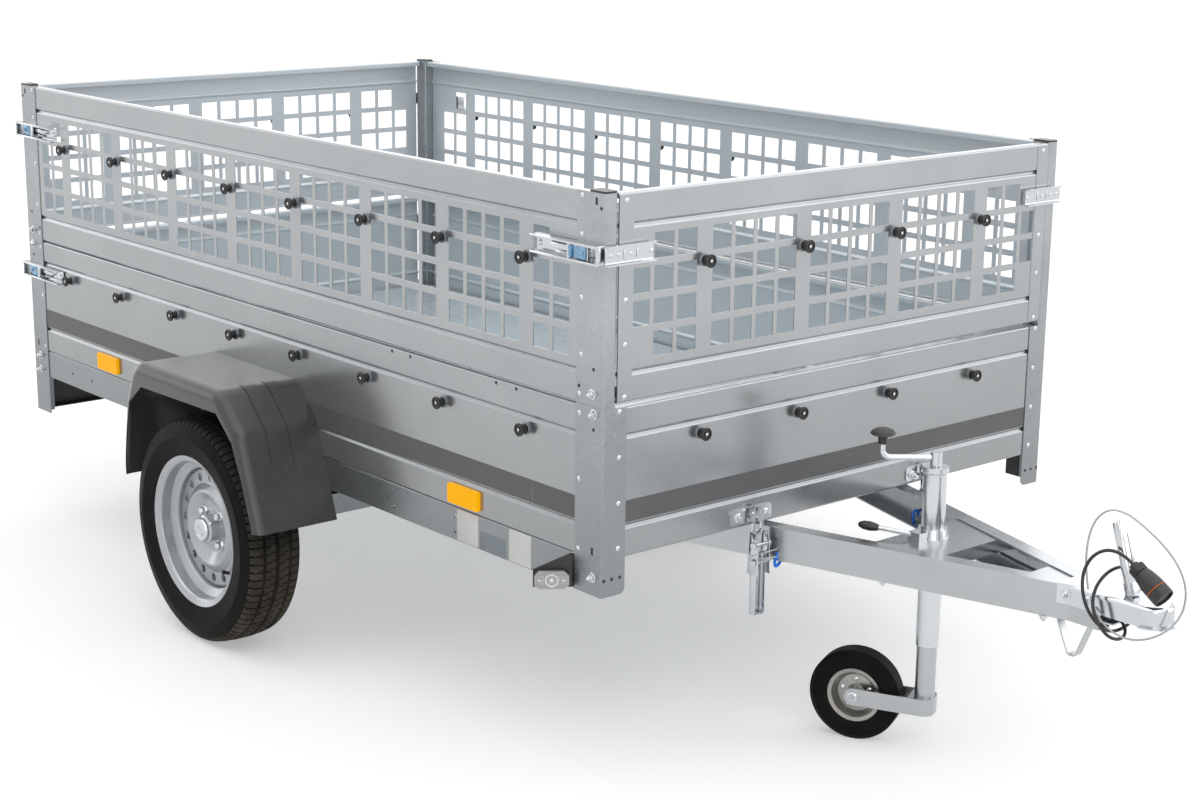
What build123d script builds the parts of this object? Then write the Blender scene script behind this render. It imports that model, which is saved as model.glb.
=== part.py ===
import os
from math import atan2, cos, degrees, pi, radians, sin, sqrt, tan

from build123d import *

os.makedirs("parts", exist_ok=True)

# Tipping utility trailer with sheet walls and perforated upper walls.
# Millimetres. +X to the coupling, +Y to the left, +Z up, z = 0 on the ground.

# Load body
BODY_X = -406.5  # middle of the body; the whole trailer is centred on x = 0
BODY_L = 2424
BODY_W = 1330
FRONT_X = BODY_X + BODY_L / 2
REAR_X = BODY_X - BODY_L / 2
SIDE_Y = BODY_W / 2
SHEET = 2  # wall and post sheet
TOP_Z = 1191  # upper walls' top edge
SEAM_Z = 779  # where upper posts stand on lower posts
SILL_Z = 472  # bottom of the lower walls, top of the side rails
RAIL_BOTTOM_Z = 399
REAR_POST_BOTTOM_Z = 297
FLOOR_Z = 498  # top of the floor board
FLOOR_T = 9
POST_SIDE = 82  # posts' width seen from the side
POST_FRONT = 60  # lower front posts' width seen from the front
POST_BOX = 31  # box part of the posts, across the body
POST_BOX_DEPTH = 47  # box part of the posts, along the body
CAP_T = 4

# Wall sheets: pressed bead and hem
BEAD_H = 12
BEAD_D = 5
HEM_IN = 24
HEM_DOWN = 14
WALL_BEADS = (535, 717)
GATE_BEADS = (842, 1128)
GATE_BOTTOM_Z = 785

# Perforation of the upper walls
HOLE = 50
ROW_TOP_Z = 1082  # middle of the top row
ROW_PITCH = 64
ROWS = 4
SIDE_KNOB_PITCH = 278
SIDE_COLUMN_PITCH = 61.5
END_KNOB_PITCH = 273
END_COLUMN_PITCH = 60.5
KNOB_LOW_Z = 692
KNOB_HIGH_Z = 1040
KNOB_R = 13.5
KNOB_NECK_R = 8
KNOB_OUT = 32

# Wheels and axle
HUB_X = BODY_X - 25
TYRE_R = 268
TYRE_W = 148
WHEEL_Y = 794  # middle plane of a wheel
RIM_SEAT_R = 165.1  # 13 inch bead seat
RIM_LIP_R = 180
RIM_W = 124
STUB_R = 14
AXLE_X = BODY_X + 100
AXLE_SIZE = 50
AXLE_Z = 315
ARM_Y = 688

# Drawbar: two channels that meet at the nose
LEG_H = 70
LEG_BOTTOM_Z = 395
LEG_TOP_Z = LEG_BOTTOM_Z + LEG_H
LEG_FLANGE = 35
LEG_T = 3
LEG_SLOPE = 0.295  # sideways per length, towards the rear
LEG_FRONT_X = BODY_X + 1850  # where the legs turn to run side by side
LEG_FRONT_Y = 39.6
LEG_NOSE_X = BODY_X + 1922
LEG_REAR_X = BODY_X - 58

# Tipping pivot
PIVOT_X = BODY_X - 100
PIVOT_Z = 430
PIVOT_Y = 589
PIVOT_PIN_R = 8
RUNNING = 0.08  # radial clearance of a running fit
LUG_T = 8

# Jockey wheel
JOCKEY_X = BODY_X + 1472
JOCKEY_TUBE_R = 24
JOCKEY_BORE_R = 21.08
JOCKEY_INNER_R = 21
JOCKEY_TUBE_Z = (228, 604)
JOCKEY_WHEEL_R = 98
JOCKEY_TRAIL = 146
JOCKEY_ANGLE = 25.8  # trailing direction, from straight back towards the right side

# Coupling
BALL_SEAT_R = 25.2  # for a 50 mm ball
BALL_Z = 441
NOSE_X = BODY_X + 2060


def leg_y(x):
    """Half width of the drawbar over the legs' outer faces."""
    return LEG_FRONT_Y + (LEG_FRONT_X - x) * LEG_SLOPE


def fold(plane, points, length, thickness=SHEET, side=Side.LEFT, bend=0):
    """Folded sheet: an open line of bends, thickened to one side and drawn out along the plane's normal.

    bend is the radius inside each bend; 0 leaves the bends sharp."""
    turn = 1 if side == Side.LEFT else -1
    lines = [Vector(*point) for point in points]
    ways = [(end - start).normalized() for start, end in zip(lines, lines[1:])]
    normals = [Vector(-way.Y * turn, way.X * turn) for way in ways]
    normals = [normals[0]] + normals + [normals[-1]]
    inner = []
    for point, before, after in zip(lines, normals, normals[1:]):
        mitre = (before + after).normalized()
        inner.append(point + mitre * (thickness / mitre.dot(after)))
    with BuildSketch(plane) as profile:
        Polygon(*lines, *reversed(inner), align=None)
        for number in range(1, len(lines) - 1) if bend else ():
            before, after = ways[number - 1], ways[number]
            outward = (before.X * after.Y - before.Y * after.X) * turn > 0
            near, far = (lines[number], inner[number]) if outward else (inner[number], lines[number])
            fillet(profile.vertices().sort_by_distance(near)[0], bend + thickness)
            fillet(profile.vertices().sort_by_distance(far)[0], bend)
    extrude(profile.sketch, amount=length)


def wall_points(face, inward, bottom, top, beads, foot=20):
    """Outer face of a wall sheet from its foot to its hem; face and inward are across the sheet."""
    points = [(face + inward * foot, bottom), (face, bottom)]
    for bead in beads:
        points += [
            (face, bead - BEAD_H / 2),
            (face + inward * BEAD_D, bead),
            (face, bead + BEAD_H / 2),
        ]
    return points + [(face, top), (face + inward * HEM_IN, top), (face + inward * HEM_IN, top - HEM_DOWN)]


def save(piece, label):
    piece.part.label = label
    export_step(piece.part, f"parts/{label}.step")


def save_pair(piece, label):
    """The right-hand piece and its mirror image on the left."""
    save(piece, f"{label}_right")
    with BuildPart() as other:
        mirror(piece.part, about=Plane.XZ)
    save(other, f"{label}_left")


def save_both(piece, label):
    """The right-hand piece and its mirror image as one node."""
    with BuildPart() as both:
        add(piece.part)
        mirror(about=Plane.XZ)
    save(both, label)


# Lower walls ----------------------------------------------------------------------------------------

WALL_TOP_Z = SEAM_Z - 4
WALL_BEND = 2
WALL_HALF = FRONT_X - POST_BOX_DEPTH - 1 - BODY_X  # side walls reach the posts' boxes
FACE_Y = SIDE_Y - SHEET  # wall sheets lie against the inside of the posts' flanges

with BuildPart() as wall:
    fold(
        Plane.YZ.offset(BODY_X - WALL_HALF),
        wall_points(-FACE_Y, 1, SILL_Z, WALL_TOP_Z, WALL_BEADS),
        2 * WALL_HALF,
        side=Side.RIGHT,
        bend=WALL_BEND,
    )
save_both(wall, "side_walls")

FRONT_WALL_HALF = SIDE_Y - POST_BOX - 1
with BuildPart() as front_wall:
    fold(
        Plane.XZ.offset(-FRONT_WALL_HALF),
        wall_points(FRONT_X - SHEET, -1, SILL_Z, WALL_TOP_Z, WALL_BEADS),
        2 * FRONT_WALL_HALF,
        bend=WALL_BEND,
    )
save(front_wall, "front_wall")

# Tailgate and gates: a folded sheet with an end plate and a hinge pin at each lower corner, and a flat
# strip over the beads' ends
HINGE_IN = 9  # hinge line behind the outer face
HINGE_UP = 7  # hinge line above the lower edge
PIN_R = 4
END_PLATE = (22, 34)
LEAF_HALF = SIDE_Y - POST_BOX - 3
LEAF_FOOT = 10
STRIP = (595, LEAF_HALF)
STRIP_T = 1.2
TAILGATE_BOTTOM_Z = SILL_Z + 5


def hang(face_x, inward, bottom, top):
    """Adds end plates, hinge pins and end strips to a leaf; inward is the way to the load space."""
    hinge = (face_x + inward * HINGE_IN, bottom + HINGE_UP)
    deep, tall = END_PLATE
    for end in (LEAF_HALF, -LEAF_HALF + SHEET):
        with BuildSketch(Plane.XZ.offset(-end)) as plate:
            with Locations((face_x + inward * deep / 2, bottom + tall / 2)):
                Rectangle(deep, tall)
        extrude(plate.sketch, amount=SHEET)
    for end in (LEAF_HALF + 7, -LEAF_HALF + 12):
        with BuildSketch(Plane.XZ.offset(-end)) as pin:
            with Locations(hinge):
                Circle(PIN_R)
        extrude(pin.sketch, amount=19)
    with BuildSketch(Plane.YZ.offset(face_x)) as strip:
        for y in (sum(STRIP) / 2, -sum(STRIP) / 2):
            with Locations((y, (bottom + top) / 2)):
                Rectangle(STRIP[1] - STRIP[0], top - bottom - 10)
    extrude(strip.sketch, amount=-inward * STRIP_T)


with BuildPart() as tailgate:
    fold(
        Plane.XZ.offset(-LEAF_HALF),
        wall_points(REAR_X, 1, TAILGATE_BOTTOM_Z, WALL_TOP_Z, WALL_BEADS, foot=LEAF_FOOT),
        2 * LEAF_HALF,
        side=Side.RIGHT,
        bend=WALL_BEND,
    )
    hang(REAR_X, 1, TAILGATE_BOTTOM_Z, WALL_TOP_Z)
save(tailgate, "tailgate")

# Floor and frame ------------------------------------------------------------------------------------

with BuildPart() as floor:
    with BuildSketch(Plane.XY.offset(FLOOR_Z - FLOOR_T)):
        with Locations((BODY_X + 10, 0)):
            Rectangle(BODY_L - 36, BODY_W - 30)
        for y in (SIDE_Y, -SIDE_Y):
            with Locations((REAR_X, y)):
                Rectangle(2 * POST_BOX_DEPTH + 4, 2 * POST_BOX + 4, mode=Mode.SUBTRACT)
    extrude(amount=FLOOR_T)
save(floor, "floor")

RAIL_H = SILL_Z - RAIL_BOTTOM_Z
RAIL_FLANGE = 35
RAIL_NOSE_TOP_X = BODY_X + 1121
RAIL_NOSE_BOTTOM_X = BODY_X + 994
RAIL_REAR_X = REAR_X + POST_BOX_DEPTH + 1
RAIL_HOLES_X = (510, 734.5)  # bolt pattern for a carrier, from the body's middle
RAIL_HOLES_Z = (419, 454)
RAIL_HOLE_R = 4.5
with BuildPart() as rail:
    with BuildSketch(Plane.XZ.offset(FACE_Y - RAIL_FLANGE)):
        Polygon(
            (RAIL_REAR_X, RAIL_BOTTOM_Z),
            (RAIL_NOSE_BOTTOM_X, RAIL_BOTTOM_Z),
            (RAIL_NOSE_TOP_X, SILL_Z),
            (RAIL_REAR_X, SILL_Z),
            align=None,
        )
    extrude(amount=RAIL_FLANGE)
    with BuildSketch(Plane.XZ.offset(FACE_Y - RAIL_FLANGE)):
        with Locations((BODY_X, (SILL_Z + RAIL_BOTTOM_Z) / 2)):
            Rectangle(BODY_L + 10, RAIL_H - 2 * 2.5)
    extrude(amount=RAIL_FLANGE - 2.5, mode=Mode.SUBTRACT)
    fillet(rail.edges().filter_by(Axis.X).group_by(Axis.Y)[0], radius=3)
    with BuildSketch(Plane.XZ.offset(FACE_Y - 5)):
        with Locations(*[(BODY_X + x, z) for x in RAIL_HOLES_X for z in RAIL_HOLES_Z]):
            Circle(RAIL_HOLE_R)
    extrude(amount=6, mode=Mode.SUBTRACT)
save_both(rail, "side_rails")

# Shallow cross members carry the floor on the rails and clear the drawbar
CROSS_H = FLOOR_Z - FLOOR_T - SILL_Z
CROSS_HALF = FACE_Y - 21  # between the side walls' feet
CROSS_STATIONS = (-1130, -800, -450, -100, 300, 700, 1110)
with BuildPart() as cross_members:
    for station in CROSS_STATIONS:
        x = BODY_X + station
        fold(
            Plane.XZ.offset(-CROSS_HALF),
            (
                (x - 30, FLOOR_Z - FLOOR_T),
                (x - 30, SILL_Z),
                (x + 30, SILL_Z),
                (x + 30, FLOOR_Z - FLOOR_T),
            ),
            2 * CROSS_HALF,
        )
save(cross_members, "cross_members")

REAR_BAR_T = 30
REAR_BAR_HALF = SIDE_Y - POST_BOX
with BuildPart() as rear_bar:
    fold(
        Plane.XZ.offset(-REAR_BAR_HALF),
        (
            (REAR_X + 4 + REAR_BAR_T, 300),
            (REAR_X + 4, 300),
            (REAR_X + 4, 396),
            (REAR_X + 4 + REAR_BAR_T, 396),
        ),
        2 * REAR_BAR_HALF,
        side=Side.RIGHT,
    )
save(rear_bar, "rear_bar")

# Posts ----------------------------------------------------------------------------------------------

POST_BEND = 2.5
SEAM_STEP = 1
POST_TOE_R = 14


def post(bottom, top, face):
    """Front right post: a flange along the side and a box, or a wider open face, towards the front."""
    side_line = (
        (FRONT_X - POST_SIDE, -SIDE_Y),
        (FRONT_X, -SIDE_Y),
        (FRONT_X, -SIDE_Y + face),
    )
    if face == POST_BOX:
        side_line += (
            (FRONT_X - POST_BOX_DEPTH, -SIDE_Y + face),
            (FRONT_X - POST_BOX_DEPTH, -FACE_Y + SHEET),
        )
    fold(Plane.XY.offset(bottom), side_line, top - bottom, bend=POST_BEND)


def rebate(bottom):
    """A shallow step round the outer faces where the lower post meets the upper one."""
    with BuildSketch(Plane.XY.offset(bottom)) as step:
        with Locations((FRONT_X - 90, -SIDE_Y + 90)):
            Rectangle(200, 200)
        with Locations((FRONT_X - SEAM_STEP - 150, -SIDE_Y + SEAM_STEP + 150)):
            RectangleRounded(300, 300, POST_BEND + SHEET - SEAM_STEP, mode=Mode.SUBTRACT)
    extrude(step.sketch, amount=SEAM_STEP, mode=Mode.SUBTRACT)


def hinge_hole(height):
    """The hole for a leaf's hinge pin, through the box's inner wall."""
    with BuildSketch(Plane.XZ.offset(SIDE_Y - POST_BOX - 1)) as hole:
        with Locations((FRONT_X - HINGE_IN, height)):
            Circle(PIN_R + RUNNING)
    extrude(hole.sketch, amount=SHEET + 2, mode=Mode.SUBTRACT)


with BuildPart() as front_lower_post:
    post(RAIL_BOTTOM_Z, SEAM_Z, POST_FRONT)
    with BuildSketch(Plane.YZ.offset(FRONT_X - 10)):
        with Locations((-SIDE_Y + POST_BOX + 50, WALL_TOP_Z + 10)):
            Rectangle(100, 20)
    extrude(amount=20, mode=Mode.SUBTRACT)
    toe = front_lower_post.edges().filter_by(Axis.X).group_by(Axis.Z)[0].sort_by(Axis.Y)[-1]
    fillet(toe, radius=POST_TOE_R)
    rebate(SEAM_Z - SEAM_STEP)
with BuildPart() as rear_lower_post:
    post(REAR_POST_BOTTOM_Z, SEAM_Z, POST_BOX)
    hinge_hole(TAILGATE_BOTTOM_Z + HINGE_UP)
    rebate(SEAM_Z - SEAM_STEP)
with BuildPart() as upper_post:
    post(SEAM_Z, TOP_Z, POST_BOX)
    rebate(SEAM_Z)
    hinge_hole(GATE_BOTTOM_Z + HINGE_UP)
BODY_MIDDLE = Plane.YZ.offset(BODY_X)

with BuildPart() as lower_posts:
    for right in (front_lower_post.part, mirror(rear_lower_post.part, about=BODY_MIDDLE, mode=Mode.PRIVATE)):
        add(right)
        mirror(right, about=Plane.XZ)
save(lower_posts, "lower_posts")

with BuildPart() as upper_posts:
    for right in (upper_post.part, mirror(upper_post.part, about=BODY_MIDDLE, mode=Mode.PRIVATE)):
        add(right)
        mirror(right, about=Plane.XZ)
save(upper_posts, "upper_posts")

with BuildPart() as post_caps:
    with BuildSketch(Plane.XY.offset(TOP_Z)):
        for x in (FRONT_X - POST_BOX_DEPTH / 2, REAR_X + POST_BOX_DEPTH / 2):
            for y in (-SIDE_Y + POST_BOX / 2, SIDE_Y - POST_BOX / 2):
                with Locations((x, y)):
                    RectangleRounded(POST_BOX_DEPTH, POST_BOX, POST_BEND + SHEET)
    extrude(amount=CAP_T)
save(post_caps, "post_caps")

# Perforated upper walls -----------------------------------------------------------------------------


def columns(knobs, knob_pitch, column_pitch, ends):
    """Hole columns as (position, first row, last row, width).

    Four stand between neighbouring knobs; ends lists (first row, last row, width) past the last knob.
    """
    last_knob = (knobs - 1) / 2 * knob_pitch
    found = []
    for gap in range(knobs - 1):
        centre = (gap + 0.5) * knob_pitch - last_knob
        found += [(centre + place * column_pitch, 0, ROWS - 1, HOLE) for place in (-1.5, -0.5, 0.5, 1.5)]
    for place, (first, last, width) in enumerate(ends):
        position = last_knob + knob_pitch / 2 + (place - 1.5) * column_pitch - (HOLE - width) / 2
        found += [(-position, first, last, width), (position, first, last, width)]
    return found


def perforate(plane, table, depth):
    """Cuts a wall's holes; the plane's x runs along the wall."""
    with BuildSketch(plane) as holes:
        for position, first, last, width in table:
            for row in range(first, last + 1):
                with Locations((position, ROW_TOP_Z - row * ROW_PITCH)):
                    Rectangle(width, HOLE)
    extrude(holes.sketch, amount=depth, mode=Mode.SUBTRACT)


SIDE_COLUMNS = columns(8, SIDE_KNOB_PITCH, SIDE_COLUMN_PITCH, ((0, 3, HOLE), (1, 3, HOLE)))
END_COLUMNS = columns(4, END_KNOB_PITCH, END_COLUMN_PITCH, ((0, 3, HOLE), (0, 3, HOLE), (1, 2, 42)))
CUT = 12

with BuildPart() as mesh:
    fold(
        Plane.YZ.offset(BODY_X - WALL_HALF),
        wall_points(-FACE_Y, 1, SEAM_Z, TOP_Z - 1, GATE_BEADS),
        2 * WALL_HALF,
        side=Side.RIGHT,
        bend=WALL_BEND,
    )
    perforate(Plane((BODY_X, -FACE_Y - 4, 0), x_dir=(1, 0, 0), z_dir=(0, -1, 0)).offset(-CUT), SIDE_COLUMNS, CUT)
save_both(mesh, "mesh_walls")

GATE_FACE_X = FRONT_X
with BuildPart() as front_gate:
    fold(
        Plane.XZ.offset(-LEAF_HALF),
        wall_points(GATE_FACE_X, -1, GATE_BOTTOM_Z, TOP_Z - 1, GATE_BEADS, foot=LEAF_FOOT),
        2 * LEAF_HALF,
        bend=WALL_BEND,
    )
    hang(GATE_FACE_X, -1, GATE_BOTTOM_Z, TOP_Z - 1)
    perforate(Plane((GATE_FACE_X + 4, 0, 0), x_dir=(0, 1, 0), z_dir=(1, 0, 0)).offset(-CUT), END_COLUMNS, CUT)
save(front_gate, "front_gate")

with BuildPart() as rear_gate:
    mirror(front_gate.part, about=BODY_MIDDLE)
save(rear_gate, "rear_gate")

# Tie knobs: black spools on the walls, where a net or cover is hooked --------------------------------


def knobs(plane, positions, heights):
    for height in heights:
        for position in positions:
            with BuildSketch(plane) as neck:
                with Locations((position, height)):
                    Circle(KNOB_NECK_R)
            extrude(neck.sketch, amount=KNOB_OUT)
            with BuildSketch(plane.offset(KNOB_OUT - 8)) as head:
                with Locations((position, height)):
                    Circle(KNOB_R)
            extrude(head.sketch, amount=8)


RIGHT_FACE = Plane((BODY_X, -FACE_Y, 0), x_dir=(1, 0, 0), z_dir=(0, -1, 0))
FRONT_FACE = Plane((FRONT_X - SHEET, 0, 0), x_dir=(0, 1, 0), z_dir=(1, 0, 0))
GATE_FACE = Plane((GATE_FACE_X, 0, 0), x_dir=(0, 1, 0), z_dir=(1, 0, 0))
SIDE_KNOBS = [(i - 3.5) * SIDE_KNOB_PITCH for i in range(8)]
END_KNOBS = [(i - 1.5) * END_KNOB_PITCH for i in range(4)]

with BuildPart() as tie_knobs:
    knobs(RIGHT_FACE, SIDE_KNOBS, (KNOB_LOW_Z, KNOB_HIGH_Z))
    mirror(about=Plane.XZ)
    knobs(FRONT_FACE, END_KNOBS, (KNOB_LOW_Z,))
save(tie_knobs, "tie_knobs")
with BuildPart() as front_gate_knobs:
    knobs(GATE_FACE, END_KNOBS, (KNOB_HIGH_Z,))
save(front_gate_knobs, "front_gate_knobs")
with BuildPart() as rear_gate_knobs:
    mirror(front_gate_knobs.part, about=BODY_MIDDLE)
save(rear_gate_knobs, "rear_gate_knobs")
with BuildPart() as tailgate_knobs:
    knobs(Plane((REAR_X, 0, 0), x_dir=(0, -1, 0), z_dir=(-1, 0, 0)), END_KNOBS, (KNOB_LOW_Z,))
save(tailgate_knobs, "tailgate_knobs")

# Latches: over-centre levers on the posts' sides, keepers round the corners on the leaves ----------------

LATCH_Z = 1075
LATCH_LOW_Z = 695
LATCH_H = 38
LATCH_L = 200
LATCH_DEPTH = 22
LATCH_T = 2.5
KEEPER_L = 119
KEEPER_OUT = 13
KEEPER_PAD = 5  # stands the keeper clear of the post


def latch(height):
    """Right front latch: an open channel with the tensioning lever folded into it."""
    low, high = height - LATCH_H / 2, height + LATCH_H / 2
    out = -SIDE_Y - LATCH_DEPTH
    fold(
        Plane.YZ.offset(FRONT_X - LATCH_L - 1),
        ((out, low), (-SIDE_Y, low), (-SIDE_Y, high), (out, high)),
        LATCH_L,
        thickness=LATCH_T,
        bend=2,
    )
    with BuildSketch(Plane.XZ.offset(SIDE_Y + LATCH_T)) as lever:
        with Locations((FRONT_X - 62, height)):
            Rectangle(84, LATCH_H - 12)
    extrude(lever.sketch, amount=LATCH_DEPTH - 2)


def keeper(height):
    """Right front keeper on the front gate."""
    low, high = height - LATCH_H / 2, height + LATCH_H / 2
    base = GATE_FACE_X + KEEPER_PAD
    fold(
        Plane.XZ.offset(SIDE_Y + 5 - KEEPER_L),
        ((base + KEEPER_OUT, low), (base, low), (base, high), (base + KEEPER_OUT, high)),
        KEEPER_L,
        thickness=LATCH_T,
        side=Side.RIGHT,
        bend=3,
    )
    with BuildSketch(Plane.YZ.offset(GATE_FACE_X)) as pad:
        with Locations((-SIDE_Y + 92, height)):
            Rectangle(38, LATCH_H - 8)
    extrude(pad.sketch, amount=KEEPER_PAD)


with BuildPart() as front_upper_latch:
    latch(LATCH_Z)
with BuildPart() as front_lower_latch:
    latch(LATCH_LOW_Z)
with BuildPart() as gate_latches:
    add(front_upper_latch.part)
    mirror(front_upper_latch.part, about=BODY_MIDDLE)
    mirror(front_lower_latch.part, about=BODY_MIDDLE)
    mirror(about=Plane.XZ)
save(gate_latches, "gate_latches")

with BuildPart() as front_gate_keepers:
    keeper(LATCH_Z)
    mirror(about=Plane.XZ)
save(front_gate_keepers, "front_gate_keepers")
with BuildPart() as rear_gate_keepers:
    mirror(front_gate_keepers.part, about=BODY_MIDDLE)
save(rear_gate_keepers, "rear_gate_keepers")
with BuildPart() as low_keepers:
    keeper(LATCH_LOW_Z)
    mirror(about=Plane.XZ)
with BuildPart() as tailgate_keepers:
    mirror(low_keepers.part, about=BODY_MIDDLE)
save(tailgate_keepers, "tailgate_keepers")

# Lamps and reflectors -------------------------------------------------------------------------------------

REFLECTOR = (105, 42, 8)
REFLECTOR_Z = 503
with BuildPart() as reflectors:
    with BuildSketch(Plane.XZ.offset(FACE_Y)):
        for station in (-778, 770):
            with Locations((BODY_X + station, REFLECTOR_Z)):
                RectangleRounded(REFLECTOR[0], REFLECTOR[1], 5)
    extrude(amount=REFLECTOR[2])
    mirror(about=Plane.XZ)
save(reflectors, "reflectors")

# A front lamp stands on a bracket that leaves the post at an angle and faces forwards and outwards
BRACKET_CORNER = Vector(BODY_X + 1122, -FACE_Y)
BRACKET_WAY = Vector(-0.61, -0.79).normalized()
LAMP_NORMAL = Vector(0.79, -0.61).normalized()
LAMP = (70, 36, 16)
LAMP_Z = 418
BRACKET_TOP_Z = 470
with BuildPart() as lamp_brackets:
    reach = LAMP[0] + 8
    tip = BRACKET_CORNER + BRACKET_WAY * reach
    fold(
        Plane.XY.offset(LAMP_Z - LAMP[1] / 2),
        ((BODY_X + 1158, -FACE_Y), (BRACKET_CORNER.X, BRACKET_CORNER.Y), (tip.X, tip.Y)),
        BRACKET_TOP_Z - LAMP_Z + LAMP[1] / 2,
        side=Side.RIGHT,
    )
    bracket_face = Plane((BRACKET_CORNER.X, BRACKET_CORNER.Y, 0), x_dir=BRACKET_WAY, z_dir=LAMP_NORMAL)
    with BuildSketch(bracket_face):
        Polygon(
            (4, -BRACKET_TOP_Z - 1),
            (4, -BRACKET_TOP_Z),
            (reach + 1, -LAMP_Z - LAMP[1] / 2),
            (reach + 1, -BRACKET_TOP_Z - 1),
            align=None,
        )
    extrude(amount=6, both=True, mode=Mode.SUBTRACT)
    mirror(about=Plane.XZ)
save(lamp_brackets, "lamp_brackets")

with BuildPart() as front_lamps:
    seat = BRACKET_CORNER + BRACKET_WAY * (LAMP[0] / 2 + 6)
    with BuildSketch(Plane((seat.X, seat.Y, LAMP_Z), x_dir=BRACKET_WAY, z_dir=LAMP_NORMAL)):
        RectangleRounded(LAMP[0], LAMP[1], 6)
    extrude(amount=LAMP[2])
    mirror(about=Plane.XZ)
save(front_lamps, "front_lamps")

REAR_LAMP = (165, 84, 39)
with BuildPart() as rear_lamps:
    with BuildSketch(Plane.YZ.offset(REAR_X + 4)):
        with Locations((-SIDE_Y + POST_BOX + REAR_LAMP[0] / 2 + 10, 300 + 6 + REAR_LAMP[1] / 2)):
            RectangleRounded(REAR_LAMP[0], REAR_LAMP[1], 10)
    extrude(amount=-REAR_LAMP[2])
    mirror(about=Plane.XZ)
save(rear_lamps, "rear_lamps")

# Wheels, axle and mudguards ---------------------------------------------------------------------------

WHEEL_RIGHT = Plane((HUB_X, -WHEEL_Y, TYRE_R), x_dir=(0, -1, 0), z_dir=(1, 0, 0))  # x outward, y up
WHEEL_AXIS = Axis((HUB_X, -WHEEL_Y, TYRE_R), (0, 1, 0))
HALF_TYRE = TYRE_W / 2
HALF_RIM = RIM_W / 2

with BuildPart() as tyre:
    with BuildSketch(WHEEL_RIGHT):
        with BuildLine():
            Polyline(
                (-HALF_RIM + 8, RIM_SEAT_R),
                (-HALF_RIM + 6, RIM_LIP_R + 4),
                (-HALF_TYRE, 222),
                (-HALF_TYRE + 3, 244),
                (-HALF_TYRE + 14, TYRE_R - 5),
                (-HALF_TYRE + 34, TYRE_R),
                (HALF_TYRE - 34, TYRE_R),
                (HALF_TYRE - 14, TYRE_R - 5),
                (HALF_TYRE - 3, 244),
                (HALF_TYRE, 222),
                (HALF_RIM - 6, RIM_LIP_R + 4),
                (HALF_RIM - 8, RIM_SEAT_R),
                close=True,
            )
        make_face()
    revolve(axis=WHEEL_AXIS)
save_pair(tyre, "tyre")

# Rim: barrel, pressed disc set towards the outside and hub
DISC_Y = 22
VENTS = 16
VENT_R = 10
VENT_RING_R = 122
with BuildPart() as rim:
    with BuildSketch(WHEEL_RIGHT):
        with BuildLine():
            Polyline(
                (-HALF_RIM, RIM_LIP_R),
                (-HALF_RIM + 5, RIM_LIP_R - 12),
                (-HALF_RIM + 8, RIM_SEAT_R),
                (-26, RIM_SEAT_R),
                (-18, 146),
                (20, 146),
                (30, RIM_SEAT_R),
                (HALF_RIM - 8, RIM_SEAT_R),
                (HALF_RIM - 5, RIM_LIP_R - 12),
                (HALF_RIM, RIM_LIP_R),
            )
            offset(amount=3, side=Side.RIGHT)
        make_face()
    revolve(axis=WHEEL_AXIS)
    with BuildSketch(WHEEL_RIGHT):
        with BuildLine():
            FilletPolyline(
                (DISC_Y - 16, 145),
                (DISC_Y - 8, 138),
                (DISC_Y - 8, 106),
                (DISC_Y + 8, 88),
                (DISC_Y - 12, 58),
                (DISC_Y - 12, 20),
                radius=(4, 8, 7, 8),
            )
            offset(amount=4, side=Side.RIGHT)
        make_face()
    revolve(axis=WHEEL_AXIS)
    with BuildSketch(Plane.XZ.offset(WHEEL_Y)):
        with Locations((HUB_X, TYRE_R)):
            with PolarLocations(VENT_RING_R, VENTS):
                Circle(VENT_R)
    extrude(amount=DISC_Y, mode=Mode.SUBTRACT)
    with BuildSketch(WHEEL_RIGHT):
        Polygon(
            (-60, STUB_R + RUNNING),
            (DISC_Y + 14, STUB_R + RUNNING),
            (DISC_Y + 14, 30),
            (DISC_Y - 12, 32),
            (DISC_Y - 12, 56),
            (DISC_Y - 22, 56),
            (-30, 36),
            (-60, 36),
            align=None,
        )
    revolve(axis=WHEEL_AXIS)
save_pair(rim, "rim")

ARM_T = 14
PAD_W = 60
with BuildPart() as axle:
    with BuildSketch(Plane.XZ):
        with Locations((AXLE_X, AXLE_Z)):
            Rectangle(AXLE_SIZE, AXLE_SIZE)
    extrude(amount=ARM_Y - ARM_T)
    # trailing arm from the beam's end back to the stub axle
    with BuildSketch(Plane.XZ.offset(ARM_Y - ARM_T)):
        with Locations((AXLE_X, AXLE_Z)):
            Circle(34)
        with Locations((HUB_X, TYRE_R)):
            Circle(27)
        make_hull()
    extrude(amount=ARM_T)
    with BuildSketch(Plane.XZ.offset(ARM_Y - 1)):
        with Locations((HUB_X, TYRE_R)):
            Circle(STUB_R)
    extrude(amount=WHEEL_Y + DISC_Y + 8 - ARM_Y)
    # pad between the beam and the drawbar's leg
    with BuildSketch(Plane.XY.offset(AXLE_Z + AXLE_SIZE / 2)):
        with Locations((AXLE_X, -leg_y(AXLE_X) + LEG_FLANGE / 2)):
            Rectangle(PAD_W, LEG_FLANGE + 6)
    extrude(amount=LEG_BOTTOM_Z - AXLE_Z - AXLE_SIZE / 2)
    mirror(about=Plane.XZ)
save(axle, "axle")

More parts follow.
